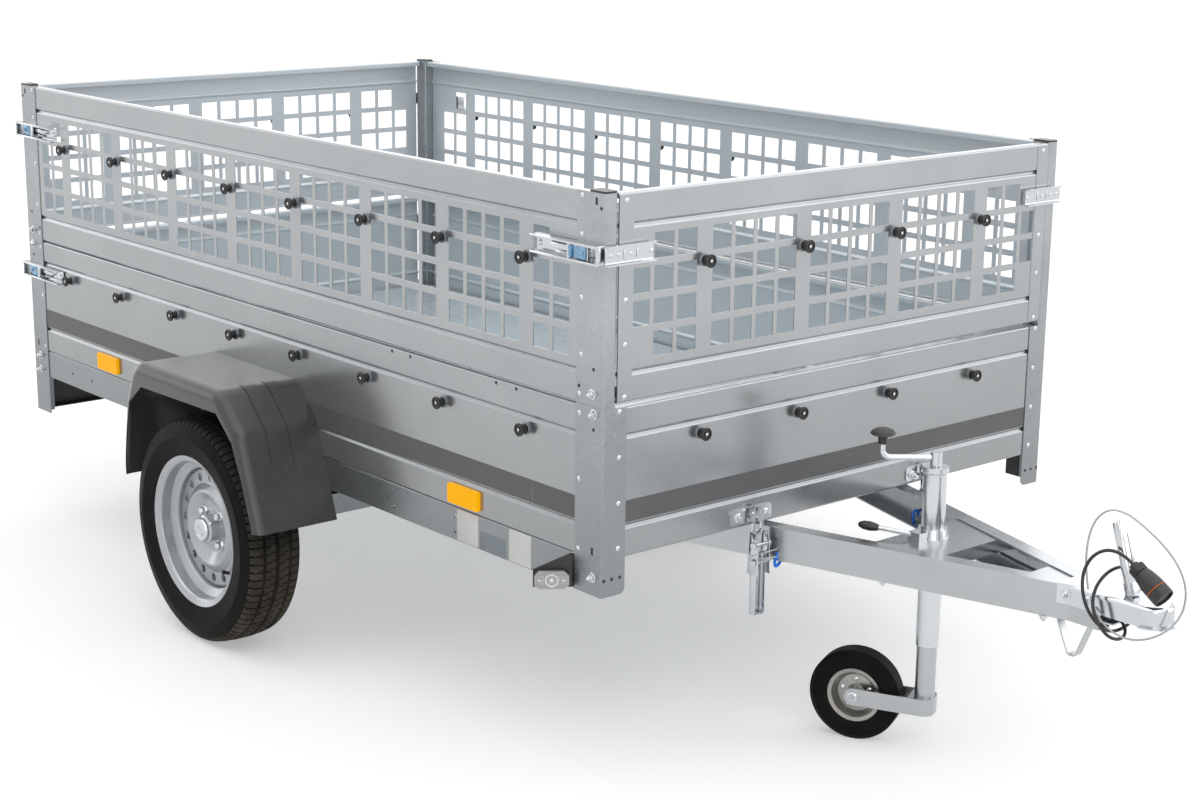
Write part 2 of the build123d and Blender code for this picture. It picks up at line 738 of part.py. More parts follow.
# Mudguard: moulded shell on the side wall, with a lip that narrows towards the rear bottom
MUD_Y = 875
MUD_T = 3
MUD_CORNER_R = 45
MUD_EDGE_R = 26
MUD_LINE = ((-335, 338), (-305, 530), (-262, 632), (128, 632), (208, 553), (285, 335))
MUD_OPENING = (
    (-345, 300),
    (-331, 338),
    (-277, 533),
    (-218, 579),
    (125, 584),
    (189, 529),
    (224, 450),
    (262, 345),
    (262, 300),
)
RIB_LINE = ((105, 632), (128, 632), (208, 553), (237, 472))
RIB_BANDS = ((710, 32), (765, 35))  # inner edge, width
RIB_OUT = 2.5


def on_body(points):
    return [(BODY_X + x, z) for x, z in points]


with BuildPart() as mudguard:
    with BuildSketch(Plane.XZ.offset(FACE_Y)) as outline:
        Polygon(*on_body(MUD_LINE), align=None)
        fillet(outline.vertices().sort_by(Axis.Y)[2:], radius=MUD_CORNER_R)
    extrude(amount=MUD_Y - FACE_Y)
    rims = mudguard.faces().sort_by(Axis.Y)[0].edges().filter_by(lambda edge: edge.center().Z > 340)
    fillet(rims, radius=MUD_EDGE_R)
    openings = [mudguard.faces().sort_by(Axis.Z)[0], mudguard.faces().sort_by(Axis.Y)[-1]]
    offset(amount=-MUD_T, openings=openings, kind=Kind.ARC)
    with BuildSketch(Plane.XZ.offset(MUD_Y - 42)):
        Polygon(*on_body(MUD_OPENING), align=None)
    extrude(amount=60, mode=Mode.SUBTRACT)
    # two raised ribs run down the front slope
    for inner, width in RIB_BANDS:
        with BuildSketch(Plane.XZ.offset(inner)) as rib:
            with BuildLine():
                FilletPolyline(*on_body(RIB_LINE), radius=MUD_CORNER_R - 0.5)
                offset(amount=RIB_OUT, side=Side.LEFT)
            make_face()
        extrude(rib.sketch, amount=width)
save_both(mudguard, "mudguards")

# Drawbar ----------------------------------------------------------------------------------------------

with BuildPart() as leg:
    leg_line = (
        (LEG_REAR_X, -leg_y(LEG_REAR_X)),
        (LEG_FRONT_X, -leg_y(LEG_FRONT_X)),
        (LEG_NOSE_X, -leg_y(LEG_FRONT_X)),
    )
    fold(Plane.XY.offset(LEG_BOTTOM_Z), leg_line, LEG_H, thickness=LEG_T)
    fold(Plane.XY.offset(LEG_BOTTOM_Z), leg_line, LEG_T, thickness=LEG_FLANGE)
    fold(Plane.XY.offset(LEG_TOP_Z - LEG_T), leg_line, LEG_T, thickness=LEG_FLANGE)
    # pivot lug between the flanges
    with BuildSketch(Plane.XZ.offset(PIVOT_Y - LUG_T / 2)):
        with Locations((PIVOT_X, PIVOT_Z)):
            Circle(25)
        with Locations((LEG_REAR_X + 30, LEG_BOTTOM_Z + LEG_H / 2)):
            Rectangle(50, LEG_H - 2 * LEG_T)
        make_hull()
        with Locations((PIVOT_X, PIVOT_Z)):
            Circle(PIVOT_PIN_R + RUNNING, mode=Mode.SUBTRACT)
    extrude(amount=LUG_T)
save_both(leg, "drawbar_legs")

PLATE_T = 4
PLATE_REAR_X = BODY_X + 1425
PLATE_FRONT_X = BODY_X + 1572
PLATE_FOLD = 28


def between_legs(rear, front):
    """Plan corners of a plate that reaches both legs' webs."""
    gap = LEG_T * sqrt(1 + LEG_SLOPE**2)
    return (
        (rear, -leg_y(rear) + gap),
        (front, -leg_y(front) + gap),
        (front, leg_y(front) - gap),
        (rear, leg_y(rear) - gap),
    )


with BuildPart() as drawbar_plates:
    with BuildSketch(Plane.XY.offset(LEG_TOP_Z - LEG_T - PLATE_FOLD)):
        Polygon(*between_legs(PLATE_REAR_X, PLATE_FRONT_X), align=None)
    extrude(amount=PLATE_FOLD)
    with BuildSketch(Plane.XY.offset(LEG_TOP_Z - LEG_T - PLATE_FOLD)):
        Polygon(*between_legs(PLATE_REAR_X + PLATE_T, PLATE_FRONT_X - PLATE_T), align=None)
    extrude(amount=PLATE_FOLD - PLATE_T, mode=Mode.SUBTRACT)
    with Locations((JOCKEY_X, 0, LEG_TOP_Z)):
        Hole(JOCKEY_TUBE_R + 0.5, depth=LEG_H)
    with BuildSketch(Plane.XY.offset(LEG_TOP_Z - LEG_T - PLATE_T)):
        Polygon(*between_legs(BODY_X + 1745, BODY_X + 1826), align=None)
    extrude(amount=PLATE_T)
save(drawbar_plates, "drawbar_plates")

REST_WIDTH = 20
with BuildPart() as rest_strap:
    fold(
        Plane.XZ.offset(12),
        (
            (BODY_X + 1800, LEG_BOTTOM_Z),
            (BODY_X + 1818, LEG_BOTTOM_Z),
            (BODY_X + 1850, 326),
            (BODY_X + 1864, 326),
            (BODY_X + 1892, LEG_BOTTOM_Z),
            (BODY_X + 1908, LEG_BOTTOM_Z),
        ),
        REST_WIDTH,
        thickness=3,
        side=Side.RIGHT,
        bend=6,
    )
save(rest_strap, "rest_strap")

# Tipping pivots: bracket plates under the body, with pins through the drawbar's lugs
BRACKET_T = 8
BRACKET_GAP = 5
with BuildPart() as tip_pivots:
    for inner in (PIVOT_Y - LUG_T / 2 - BRACKET_GAP - BRACKET_T, PIVOT_Y + LUG_T / 2 + BRACKET_GAP):
        with BuildSketch(Plane.XZ.offset(inner)):
            with Locations((PIVOT_X, PIVOT_Z)):
                Circle(22)
            with Locations((PIVOT_X, SILL_Z - 2)):
                Rectangle(52, 4)
            make_hull()
        extrude(amount=BRACKET_T)
    with BuildSketch(Plane.XZ.offset(PIVOT_Y - LUG_T / 2 - BRACKET_GAP - BRACKET_T - 3)):
        with Locations((PIVOT_X, PIVOT_Z)):
            Circle(PIVOT_PIN_R)
    extrude(amount=LUG_T + 2 * (BRACKET_GAP + BRACKET_T + 3))
    mirror(about=Plane.XZ)
save(tip_pivots, "tip_pivots")

# Coupling: pressed housing over the drawbar's nose, with the ball seat in its head
HOUSING_T = 3.5
HOUSING_HALF = leg_y(LEG_FRONT_X) + HOUSING_T
HOUSING_TOP_Z = LEG_TOP_Z + HOUSING_T
HOUSING_BOTTOM_Z = 428
HEAD_R = 40
HEAD_EDGE_R = 10
HEAD_X = NOSE_X - 8 - HEAD_R
HOUSING_REAR_X = BODY_X + 1828
NECK_X = BODY_X + 1938


def shank(wall):
    """Plan of the housing's shank over both legs, or of its inside where wall is 0."""
    rear = HOUSING_REAR_X - (0 if wall else 2)
    return (
        (rear, -leg_y(rear) - wall),
        (LEG_FRONT_X, -leg_y(LEG_FRONT_X) - wall),
        (NECK_X, -leg_y(LEG_FRONT_X) - wall),
        (NECK_X, leg_y(LEG_FRONT_X) + wall),
        (LEG_FRONT_X, leg_y(LEG_FRONT_X) + wall),
        (rear, leg_y(rear) + wall),
    )


def head_plan(wall):
    """Plan of the tapering neck and round head."""
    with BuildSketch(Plane.XY.offset(HOUSING_BOTTOM_Z)) as plan:
        with Locations((NECK_X - 10, 0)):
            Rectangle(20, 2 * (leg_y(LEG_FRONT_X) + wall))
        with Locations((HEAD_X, 0)):
            Circle(HEAD_R - HOUSING_T + wall)
        make_hull()
    return plan.sketch


with BuildPart() as coupling:
    height = HOUSING_TOP_Z - HOUSING_BOTTOM_Z
    with BuildSketch(Plane.XY.offset(HOUSING_BOTTOM_Z)):
        Polygon(*shank(HOUSING_T), align=None)
    extrude(amount=height)
    extrude(head_plan(HOUSING_T), amount=height)
    with BuildSketch(Plane.XY.offset(HOUSING_BOTTOM_Z)):
        Polygon(*shank(0), align=None)
    extrude(amount=height - HOUSING_T, mode=Mode.SUBTRACT)
    extrude(head_plan(0), amount=height - HOUSING_T, mode=Mode.SUBTRACT)
    with BuildSketch(Plane.XY.offset(HOUSING_BOTTOM_Z)):
        with Locations((HEAD_X, 0)):
            Circle(HEAD_R - 2)
    extrude(amount=height - 1)
    shoulders = coupling.edges().group_by(Axis.Z)[-1].filter_by(lambda edge: edge.center().X > NECK_X + 2)
    fillet(shoulders, radius=HEAD_EDGE_R)
    with BuildSketch(Plane.XY.offset(HOUSING_BOTTOM_Z)):
        with Locations((HEAD_X, 0)):
            Circle(HEAD_R + 8)
            Circle(HEAD_R - 2, mode=Mode.SUBTRACT)
        with Locations((HEAD_X - 60, 0)):
            Rectangle(120, 200, mode=Mode.SUBTRACT)
    extrude(amount=3)
    with BuildSketch(Plane.XZ):
        with BuildLine():
            Line((HEAD_X, BALL_Z + BALL_SEAT_R), (HEAD_X, HOUSING_BOTTOM_Z))
            Line((HEAD_X, HOUSING_BOTTOM_Z), (HEAD_X + BALL_SEAT_R, HOUSING_BOTTOM_Z))
            Line((HEAD_X + BALL_SEAT_R, HOUSING_BOTTOM_Z), (HEAD_X + BALL_SEAT_R, BALL_Z))
            CenterArc((HEAD_X, BALL_Z), BALL_SEAT_R, 0, 90)
        make_face()
    revolve(axis=Axis((HEAD_X, 0, BALL_Z), (0, 0, 1)), mode=Mode.SUBTRACT)
save(coupling, "coupling")

LEVER_FOOT = (BODY_X + 1966, HOUSING_TOP_Z)
LEVER_TOP = (BODY_X + 1919, 607)
with BuildPart() as coupling_lever:
    lean = degrees(atan2(LEVER_TOP[1] - LEVER_FOOT[1], LEVER_TOP[0] - LEVER_FOOT[0]))
    length = sqrt((LEVER_TOP[0] - LEVER_FOOT[0]) ** 2 + (LEVER_TOP[1] - LEVER_FOOT[1]) ** 2)
    with BuildSketch(Plane.XY.offset(HOUSING_TOP_Z)):
        with Locations((LEVER_FOOT[0], 0)):
            Rectangle(26, 24)
    extrude(amount=22)
    lever_plane = Plane(
        (LEVER_FOOT[0], 0, LEVER_FOOT[1] + 8),
        x_dir=(0, 1, 0),
        z_dir=(cos(radians(lean)), 0, sin(radians(lean))),
    )
    fold(lever_plane, ((-13, -7), (-13, 5), (13, 5), (13, -7)), length - 8, thickness=2.5, side=Side.RIGHT)
save(coupling_lever, "coupling_lever")

# Jockey wheel -------------------------------------------------------------------------------------------

JOCKEY_AXIS = Axis((JOCKEY_X, 0, 0), (0, 0, 1))


def turned(*profile):
    """A piece turned about the jockey tube's axis; the profile is (radius, height)."""
    with BuildSketch(Plane.XZ) as section:
        Polygon(*[(JOCKEY_X + r, z) for r, z in profile], align=None)
    revolve(section.sketch, axis=JOCKEY_AXIS)


with BuildPart() as jockey_tube:
    bottom, top = JOCKEY_TUBE_Z
    turned(
        (JOCKEY_BORE_R, bottom),
        (JOCKEY_TUBE_R, bottom),
        (JOCKEY_TUBE_R, top - 8),
        (JOCKEY_TUBE_R + 3, top - 4),
        (JOCKEY_TUBE_R + 3, top + 6),
        (9, top + 6),
        (9, top),
        (JOCKEY_BORE_R, top),
    )
save(jockey_tube, "jockey_tube")

SPINDLE_R = 8
SPINDLE_BOTTOM_Z = 246
BOSS_R = 12
CRANK_ANGLE = -130
CRANK_L = 110
CRANK_Z = 628
ROD_R = 6
KNOB_TOP_Z = 690
crank_way = (cos(radians(CRANK_ANGLE)), sin(radians(CRANK_ANGLE)))
CRANK_END = (JOCKEY_X + CRANK_L * crank_way[0], CRANK_L * crank_way[1])
with BuildPart() as jockey_crank:
    turned(
        (0, SPINDLE_BOTTOM_Z),
        (SPINDLE_R, SPINDLE_BOTTOM_Z),
        (SPINDLE_R, JOCKEY_TUBE_Z[1] + 6.5),
        (BOSS_R, JOCKEY_TUBE_Z[1] + 6.5),
        (BOSS_R, 640),
        (0, 640),
    )
    with BuildLine() as rod:
        FilletPolyline((JOCKEY_X, 0, CRANK_Z), (*CRANK_END, CRANK_Z), (*CRANK_END, CRANK_Z + 40), radius=16)
    with BuildSketch(Plane(rod.line @ 0, z_dir=rod.line % 0)):
        Circle(ROD_R)
    sweep()
save(jockey_crank, "jockey_crank")

KNOB_PROFILE = ((0, -22), (0, 0), (12, -1.5), (22, -6), (26, -12), (23, -15), (10, -19), (9, -34), (6, -34), (6, -22))
with BuildPart() as crank_knob:
    with BuildSketch(Plane.XZ.offset(-CRANK_END[1])):
        Polygon(*[(CRANK_END[0] + r, KNOB_TOP_Z + h) for r, h in KNOB_PROFILE], align=None)
    revolve(axis=Axis((CRANK_END[0], CRANK_END[1], 0), (0, 0, 1)))

LEVER_KNOB = Vector(BODY_X + 1386, -100, 482)
LEVER_START = Vector(JOCKEY_X, -JOCKEY_TUBE_R - 24, LEG_TOP_Z + 8)
LEVER_WAY = LEVER_KNOB - LEVER_START
with BuildPart() as jockey_clamp:
    turned(
        (JOCKEY_TUBE_R, LEG_TOP_Z - LEG_T),
        (JOCKEY_TUBE_R + 10, LEG_TOP_Z - LEG_T),
        (JOCKEY_TUBE_R + 6, LEG_TOP_Z + 16),
        (JOCKEY_TUBE_R, LEG_TOP_Z + 16),
    )
    with BuildSketch(Plane.XY.offset(LEG_TOP_Z - LEG_T)):
        with Locations((JOCKEY_X, -JOCKEY_TUBE_R - 18)):
            Rectangle(30, 32)
    extrude(amount=18)
    with BuildSketch(Plane(LEVER_START, z_dir=LEVER_WAY)):
        Circle(5)
    extrude(amount=LEVER_WAY.length - 22)
save(jockey_clamp, "jockey_clamp")

GRIP_PROFILE = ((0, 0), (6, 0), (8, 6), (10, 18), (9, 32), (5, 41), (0, 44))  # radius, distance along the lever
with BuildPart() as jockey_grips:
    add(crank_knob.part)
    grip_start = LEVER_START + LEVER_WAY * (1 - 22 / LEVER_WAY.length)
    lever_plane = Plane(grip_start, z_dir=LEVER_WAY)
    with BuildSketch(Plane(grip_start, x_dir=lever_plane.x_dir, z_dir=-lever_plane.y_dir)):
        Polygon(*GRIP_PROFILE, align=None)
    revolve(axis=Axis(grip_start, LEVER_WAY))
save(jockey_grips, "jockey_grips")

# The nut on the spindle lifts and lowers the swivelling leg
NUT_Z = (330.4, 358)
LEG_BORE_R = 18
with BuildPart() as jockey_nut:
    turned(
        (SPINDLE_R + RUNNING, NUT_Z[0]),
        (LEG_BORE_R - RUNNING, NUT_Z[0]),
        (LEG_BORE_R - RUNNING, NUT_Z[1]),
        (SPINDLE_R + RUNNING, NUT_Z[1]),
    )
save(jockey_nut, "jockey_nut")

TRAIL_WAY = (-cos(radians(JOCKEY_ANGLE)), -sin(radians(JOCKEY_ANGLE)), 0)
TRAIL_SIDE = (sin(radians(JOCKEY_ANGLE)), -cos(radians(JOCKEY_ANGLE)), 0)
CASTER_SIDE = Plane((JOCKEY_X, 0, 0), x_dir=TRAIL_WAY, z_dir=(-TRAIL_SIDE[0], -TRAIL_SIDE[1], 0))
CASTER_PLAN = Plane((JOCKEY_X, 0, 0), x_dir=TRAIL_WAY, z_dir=(0, 0, 1))
FORK_HALF_H = 18
FORK_IN = 28
FORK_T = 5
SPIN_R = 7
with BuildPart() as jockey_leg:
    turned(
        (LEG_BORE_R, 100),
        (JOCKEY_INNER_R, 100),
        (JOCKEY_INNER_R, 380),
        (LEG_BORE_R, 380),
        (LEG_BORE_R, NUT_Z[0] - 0.4),
        (SPINDLE_R + 2, NUT_Z[0] - 0.4),
        (SPINDLE_R + 2, NUT_Z[0] - 8),
        (LEG_BORE_R, NUT_Z[0] - 8),
    )
    # fork: a plate bent round the tube's foot, its two cheeks reaching back to the wheel
    fold(
        CASTER_PLAN.offset(JOCKEY_WHEEL_R - FORK_HALF_H),
        (
            (JOCKEY_TRAIL, -FORK_IN - FORK_T),
            (-24, -FORK_IN - FORK_T),
            (-24, FORK_IN + FORK_T),
            (JOCKEY_TRAIL, FORK_IN + FORK_T),
        ),
        2 * FORK_HALF_H,
        thickness=FORK_T,
        side=Side.RIGHT,
        bend=20,
    )
    for reach in (-FORK_IN - FORK_T, FORK_IN):
        with BuildSketch(CASTER_SIDE.offset(reach)):
            with Locations((JOCKEY_TRAIL, JOCKEY_WHEEL_R)):
                Circle(FORK_HALF_H)
        extrude(amount=FORK_T)
    with BuildSketch(CASTER_PLAN.offset(JOCKEY_WHEEL_R + FORK_HALF_H - 4)) as web:
        with Locations((4, 0)):
            Rectangle(50, 2 * FORK_IN + 2)
        fillet(web.vertices().group_by(Axis.X)[0], radius=22)
        Circle(LEG_BORE_R, mode=Mode.SUBTRACT)
    extrude(amount=4)
    with BuildSketch(CASTER_SIDE.offset(-FORK_IN - FORK_T - 5)):
        with Locations((JOCKEY_TRAIL, JOCKEY_WHEEL_R)):
            Circle(SPIN_R)
    extrude(amount=2 * (FORK_IN + FORK_T + 5))
save(jockey_leg, "jockey_leg")

HUB_POINT = CASTER_SIDE.from_local_coords((JOCKEY_TRAIL, JOCKEY_WHEEL_R, 0))
SPIN_AXIS = Axis(HUB_POINT, CASTER_SIDE.z_dir)
CASTER_SECTION = Plane(HUB_POINT, x_dir=CASTER_SIDE.z_dir, z_dir=CASTER_SIDE.x_dir)  # x across, y up
JOCKEY_RIM_R = 58
JOCKEY_HALF_W = 25


def spun(*profile):
    """A piece turned about the jockey wheel's own axis; the profile is (across, radius)."""
    with BuildSketch(CASTER_SECTION) as section:
        Polygon(*profile, align=None)
    revolve(section.sketch, axis=SPIN_AXIS)


with BuildPart() as jockey_rim:
    spun(
        (-26, SPIN_R + RUNNING),
        (26, SPIN_R + RUNNING),
        (26, 17),
        (6, 20),
        (4, 40),
        (19, 50),
        (21, JOCKEY_RIM_R),
        (-21, JOCKEY_RIM_R),
        (-19, 50),
        (-4, 40),
        (-6, 20),
        (-26, 17),
    )
save(jockey_rim, "jockey_rim")

with BuildPart() as jockey_tyre:
    spun(
        (-21, JOCKEY_RIM_R),
        (21, JOCKEY_RIM_R),
        (JOCKEY_HALF_W, JOCKEY_RIM_R + 8),
        (JOCKEY_HALF_W, JOCKEY_WHEEL_R - 9),
        (JOCKEY_HALF_W - 7, JOCKEY_WHEEL_R),
        (-JOCKEY_HALF_W + 7, JOCKEY_WHEEL_R),
        (-JOCKEY_HALF_W, JOCKEY_WHEEL_R - 9),
        (-JOCKEY_HALF_W, JOCKEY_RIM_R + 8),
    )
save(jockey_tyre, "jockey_tyre")

# Tip latches ------------------------------------------------------------------------------------------------
# A lever on each leg pulls a ring that hangs on a hook on the body's sill.
TIP_Y = -258
TIP_BASE_X = FRONT_X + 4
with BuildPart() as tip_latches:
    with BuildSketch(Plane.YZ.offset(TIP_BASE_X)):
        with Locations((TIP_Y + 6, 424)):
            Rectangle(50, 84)
    extrude(amount=3)
    for y in (TIP_Y - 17, TIP_Y + 14):
        with BuildSketch(Plane.XZ.offset(-y - 3)):
            with Locations((TIP_BASE_X + 15, 414)):
                Rectangle(30, 64)
        extrude(amount=3)
    with BuildSketch(Plane.XZ.offset(-TIP_Y - 17)):
        with Locations((TIP_BASE_X + 24, 402)):
            Circle(4)
    extrude(amount=34)
    fold(
        Plane.XY.offset(284),
        (
            (TIP_BASE_X + 34, TIP_Y - 12),
            (TIP_BASE_X + 20, TIP_Y - 12),
            (TIP_BASE_X + 20, TIP_Y + 12),
            (TIP_BASE_X + 34, TIP_Y + 12),
        ),
        140,
        side=Side.RIGHT,
    )
    mirror(about=Plane.XZ)
save(tip_latches, "tip_latches")

RING_R = 3
with BuildPart() as sill_hooks:
    with BuildSketch(Plane.YZ.offset(FRONT_X - SHEET)):
        with Locations((-265, 496)):
            RectangleRounded(118, 32, 8)
    extrude(amount=3)
    with BuildSketch(Plane.XZ.offset(-TIP_Y - 6)):
        Polygon(
            (FRONT_X, 486),
            (FRONT_X + 26, 486),
            (FRONT_X + 26, 512),
            (FRONT_X + 20, 512),
            (FRONT_X + 20, 492),
            (FRONT_X, 492),
            align=None,
        )
    extrude(amount=12)
    with BuildSketch(Plane.YZ.offset(FRONT_X + 11)):
        with Locations((TIP_Y, 483)):
            RectangleRounded(30, 60, 14)
            RectangleRounded(18, 48, 8, mode=Mode.SUBTRACT)
    extrude(amount=6)
    mirror(about=Plane.XZ)
save(sill_hooks, "sill_hooks")

# Plug and cords ---------------------------------------------------------------------------------------------

PLUG_REAR = Vector(BODY_X + 1976, -22, 537)
PLUG_FRONT = Vector(BODY_X + 2050, -22, 489)
PLUG_WAY = PLUG_FRONT - PLUG_REAR
PLUG_PROFILE = ((0, 0), (9, 0), (15, 6), (16, 26), (19, 34), (21.5, 50), (21.5, PLUG_WAY.length), (0, PLUG_WAY.length))
with BuildPart() as plug:
    with BuildSketch(Plane(PLUG_REAR, x_dir=(0, 1, 0), z_dir=(PLUG_WAY.Z, 0, -PLUG_WAY.X))):
        Polygon(*PLUG_PROFILE, align=None)
    revolve(axis=Axis(PLUG_REAR, PLUG_WAY))
save(plug, "plug")


def cord(points, radius, label):
    """Round cord: straight runs joined by tangent arcs as large as the runs allow."""
    route = [Vector(BODY_X + x, y, z) for x, y, z in points]
    radii = []
    for before, corner, after in zip(route, route[1:], route[2:]):
        first, second = corner - before, after - corner
        half_turn = radians(first.get_angle(second)) / 2
        radii.append(0.45 * min(first.length, second.length) / tan(half_turn))
    with BuildPart() as piece:
        with BuildLine() as path:
            FilletPolyline(*route, radius=radii)
        with BuildSketch(Plane(path.line @ 0, z_dir=path.line % 0)):
            Circle(radius)
        sweep()
    length = path.wire().length
    print(label, "length", round(length), "radii", [round(r) for r in radii])
    print(label, "volume over section times length", round(piece.part.volume / (pi * radius**2 * length), 3))
    save(piece, label)
    return piece


exit_way = PLUG_WAY.normalized() * -24
POWER_ROUTE = (
    (PLUG_REAR.X - BODY_X, PLUG_REAR.Y, PLUG_REAR.Z),
    (PLUG_REAR.X - BODY_X + exit_way.X, PLUG_REAR.Y, PLUG_REAR.Z + exit_way.Z),
    (1924, -32, 556),
    (1902, -48, 540),
    (1893, -60, 509),
    (1898, -66, 474),
    (1912, -66, 440),
    (1930, -52, 410),
    (1934, -20, 391),
    (1938, 17, 391),
    (1942, 46, 408),
    (1943, 62, 440),
    (1939, 60, 475),
    (1933, 40, 504),
    (1927, 8, 515),
    (1922, -26, 508),
    (1920, -55, 486),
    (1925, -70, 454),
    (1938, -68, 424),
    (1953, -55, 396),
    (1960, -27, 384),
    (1957, -1, 388),
    (1941, 14, 402),
    (1918, 15, 411),
    (1893, 14, 418),
    (1860, 17, 428),
    (1790, 24, 440),
    (1715, 44, 438),
    (1640, 70, 434),
    (1575, 95, 432),
)
SAFETY_ROUTE = (
    (1912, -47, 440),
    (1935, -52, 420),
    (1965, -56, 408),
    (2000, -56, 403),
    (2036, -46, 411),
    (2063, -26, 430),
    (2075, -2, 457),
    (2073, 14, 491),
    (2057, 22, 526),
    (2031, 23, 556),
    (2000, 19, 582),
    (1969, 11, 604),
    (1938, 3, 622),
    (1905, -7, 625),
    (1883, -17, 603),
    (1876, -26, 570),
    (1879, -35, 535),
    (1888, -43, 502),
    (1898, -47, 472),
)
power_cable = cord(POWER_ROUTE, 3.3, "power_cable")
safety_cable = cord(SAFETY_ROUTE, 2, "safety_cable")
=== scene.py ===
from math import atan2, cos, pi, radians, sin

import bmesh
import bpy
from mathutils import Matrix, Quaternion, Vector

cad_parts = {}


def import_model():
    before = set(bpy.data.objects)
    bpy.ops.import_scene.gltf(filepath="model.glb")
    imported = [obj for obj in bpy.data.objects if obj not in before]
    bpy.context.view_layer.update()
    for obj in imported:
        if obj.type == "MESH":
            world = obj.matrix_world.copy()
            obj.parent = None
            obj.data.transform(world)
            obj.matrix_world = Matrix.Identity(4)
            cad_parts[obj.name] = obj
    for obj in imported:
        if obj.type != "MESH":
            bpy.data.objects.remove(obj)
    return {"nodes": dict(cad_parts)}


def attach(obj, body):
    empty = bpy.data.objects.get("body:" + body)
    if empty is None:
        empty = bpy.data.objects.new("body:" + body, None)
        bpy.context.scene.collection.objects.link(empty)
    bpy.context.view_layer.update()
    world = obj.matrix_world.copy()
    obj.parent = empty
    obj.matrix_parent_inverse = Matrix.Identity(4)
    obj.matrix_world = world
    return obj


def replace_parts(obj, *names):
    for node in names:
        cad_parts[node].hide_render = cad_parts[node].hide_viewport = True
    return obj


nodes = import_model()["nodes"]
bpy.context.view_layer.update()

# Viewpoint ----------------------------------------------------------------------------------------
# The camera stands ahead of the right front corner, a little above the rim of the body, and looks back
# along the load space.
CAMERA_AT = (3.8371, -3.2502, 1.7931)
LOOKS_TOWARDS = radians(139.633)  # round +Z from +X
LOOKS_DOWN = radians(14.083)
CAMERA_ROLL = radians(0.641)
FOCAL_PIXELS = 2164.04
FRAME_WIDTH = 1200  # pixels
CENTRE_BELOW = 2.2  # pixels from the frame's middle down to the optical axis
SENSOR_MM = 36

view_line = Vector((
    cos(LOOKS_DOWN) * cos(LOOKS_TOWARDS),
    cos(LOOKS_DOWN) * sin(LOOKS_TOWARDS),
    -sin(LOOKS_DOWN),
))
camera = bpy.data.objects.new("camera", bpy.data.cameras.new("camera"))
bpy.context.collection.objects.link(camera)
camera.data.sensor_width = SENSOR_MM
camera.data.lens = SENSOR_MM * FOCAL_PIXELS / FRAME_WIDTH
camera.data.shift_y = CENTRE_BELOW / FRAME_WIDTH
camera.rotation_mode = "QUATERNION"
camera.rotation_quaternion = view_line.to_track_quat("-Z", "Y") @ Quaternion((0, 0, 1), CAMERA_ROLL)
camera.location = CAMERA_AT
bpy.context.scene.camera = camera

# Power cable, plug and breakaway rope -------------------------------------------------------------
# A black sheathed cable comes out of the left drawbar leg, runs forward inside the drawbar and is wound
# once and a half round the coupling's neck. Its plug rests on the coupling's head.
BODY_X = -0.4065  # middle of the body's length
PLUG_REAR = (1.976, -0.022, 0.537)
PLUG_FRONT = (2.050, -0.022, 0.489)
CABLE_R, CABLE_L = 0.0033, 1.108
ROPE_R, ROPE_L = 0.002, 0.645
CABLE_ROUTE = (
    PLUG_REAR, (1.9559, -0.022, 0.5501), (1.924, -0.032, 0.556), (1.902, -0.048, 0.540),
    (1.893, -0.060, 0.509), (1.898, -0.066, 0.474), (1.912, -0.066, 0.440), (1.930, -0.052, 0.410),
    (1.934, -0.020, 0.391), (1.938, 0.017, 0.391), (1.942, 0.046, 0.408), (1.943, 0.062, 0.440),
    (1.939, 0.060, 0.475), (1.933, 0.040, 0.504), (1.927, 0.008, 0.515), (1.922, -0.026, 0.508),
    (1.920, -0.055, 0.486), (1.925, -0.070, 0.454), (1.938, -0.068, 0.424), (1.953, -0.055, 0.396),
    (1.960, -0.027, 0.384), (1.957, -0.001, 0.388), (1.941, 0.014, 0.402), (1.918, 0.015, 0.411),
    (1.893, 0.014, 0.418), (1.860, 0.017, 0.428), (1.790, 0.024, 0.440), (1.715, 0.044, 0.438),
    (1.640, 0.070, 0.434), (1.575, 0.095, 0.432),
)
ROPE_ROUTE = (
    (1.912, -0.047, 0.440), (1.935, -0.052, 0.420), (1.965, -0.056, 0.408), (2.000, -0.056, 0.403),
    (2.036, -0.046, 0.411), (2.063, -0.026, 0.430), (2.075, -0.002, 0.457), (2.073, 0.014, 0.491),
    (2.057, 0.022, 0.526), (2.031, 0.023, 0.556), (2.000, 0.019, 0.582), (1.969, 0.011, 0.604),
    (1.938, 0.003, 0.622), (1.905, -0.007, 0.625), (1.883, -0.017, 0.603), (1.876, -0.026, 0.570),
    (1.879, -0.035, 0.535), (1.888, -0.043, 0.502), (1.898, -0.047, 0.472),
)


def from_body(point):
    """A point measured from the middle of the body's length, in the frame."""
    return (BODY_X + point[0], point[1], point[2])


def cord(name, route, radius, sides=3, steps=8, closed=False):
    """Round cord or bent wire on a smooth line that the route's points guide, in body coordinates."""
    curve = bpy.data.curves.new(name, "CURVE")
    curve.dimensions = "3D"
    curve.bevel_depth = 1.0  # times each point's radius, so that the curve's box ends at its surface
    curve.bevel_resolution = sides
    curve.resolution_u = steps
    curve.use_fill_caps = not closed
    line = curve.splines.new("NURBS")
    line.points.add(len(route) - 1)
    for place, point in zip(line.points, route):
        place.co = (*from_body(point), 1)
        place.radius = radius
    line.order_u = 3
    line.use_endpoint_u = not closed
    line.use_cyclic_u = closed
    piece = bpy.data.objects.new(name, curve)
    bpy.context.collection.objects.link(piece)
    return piece


power_flex = cord("power_flex", CABLE_ROUTE, CABLE_R)
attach(power_flex, "chassis")
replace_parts(power_flex, "power_cable")
breakaway_rope = cord("breakaway_rope", ROPE_ROUTE, ROPE_R)
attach(breakaway_rope, "chassis")
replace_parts(breakaway_rope, "safety_cable")

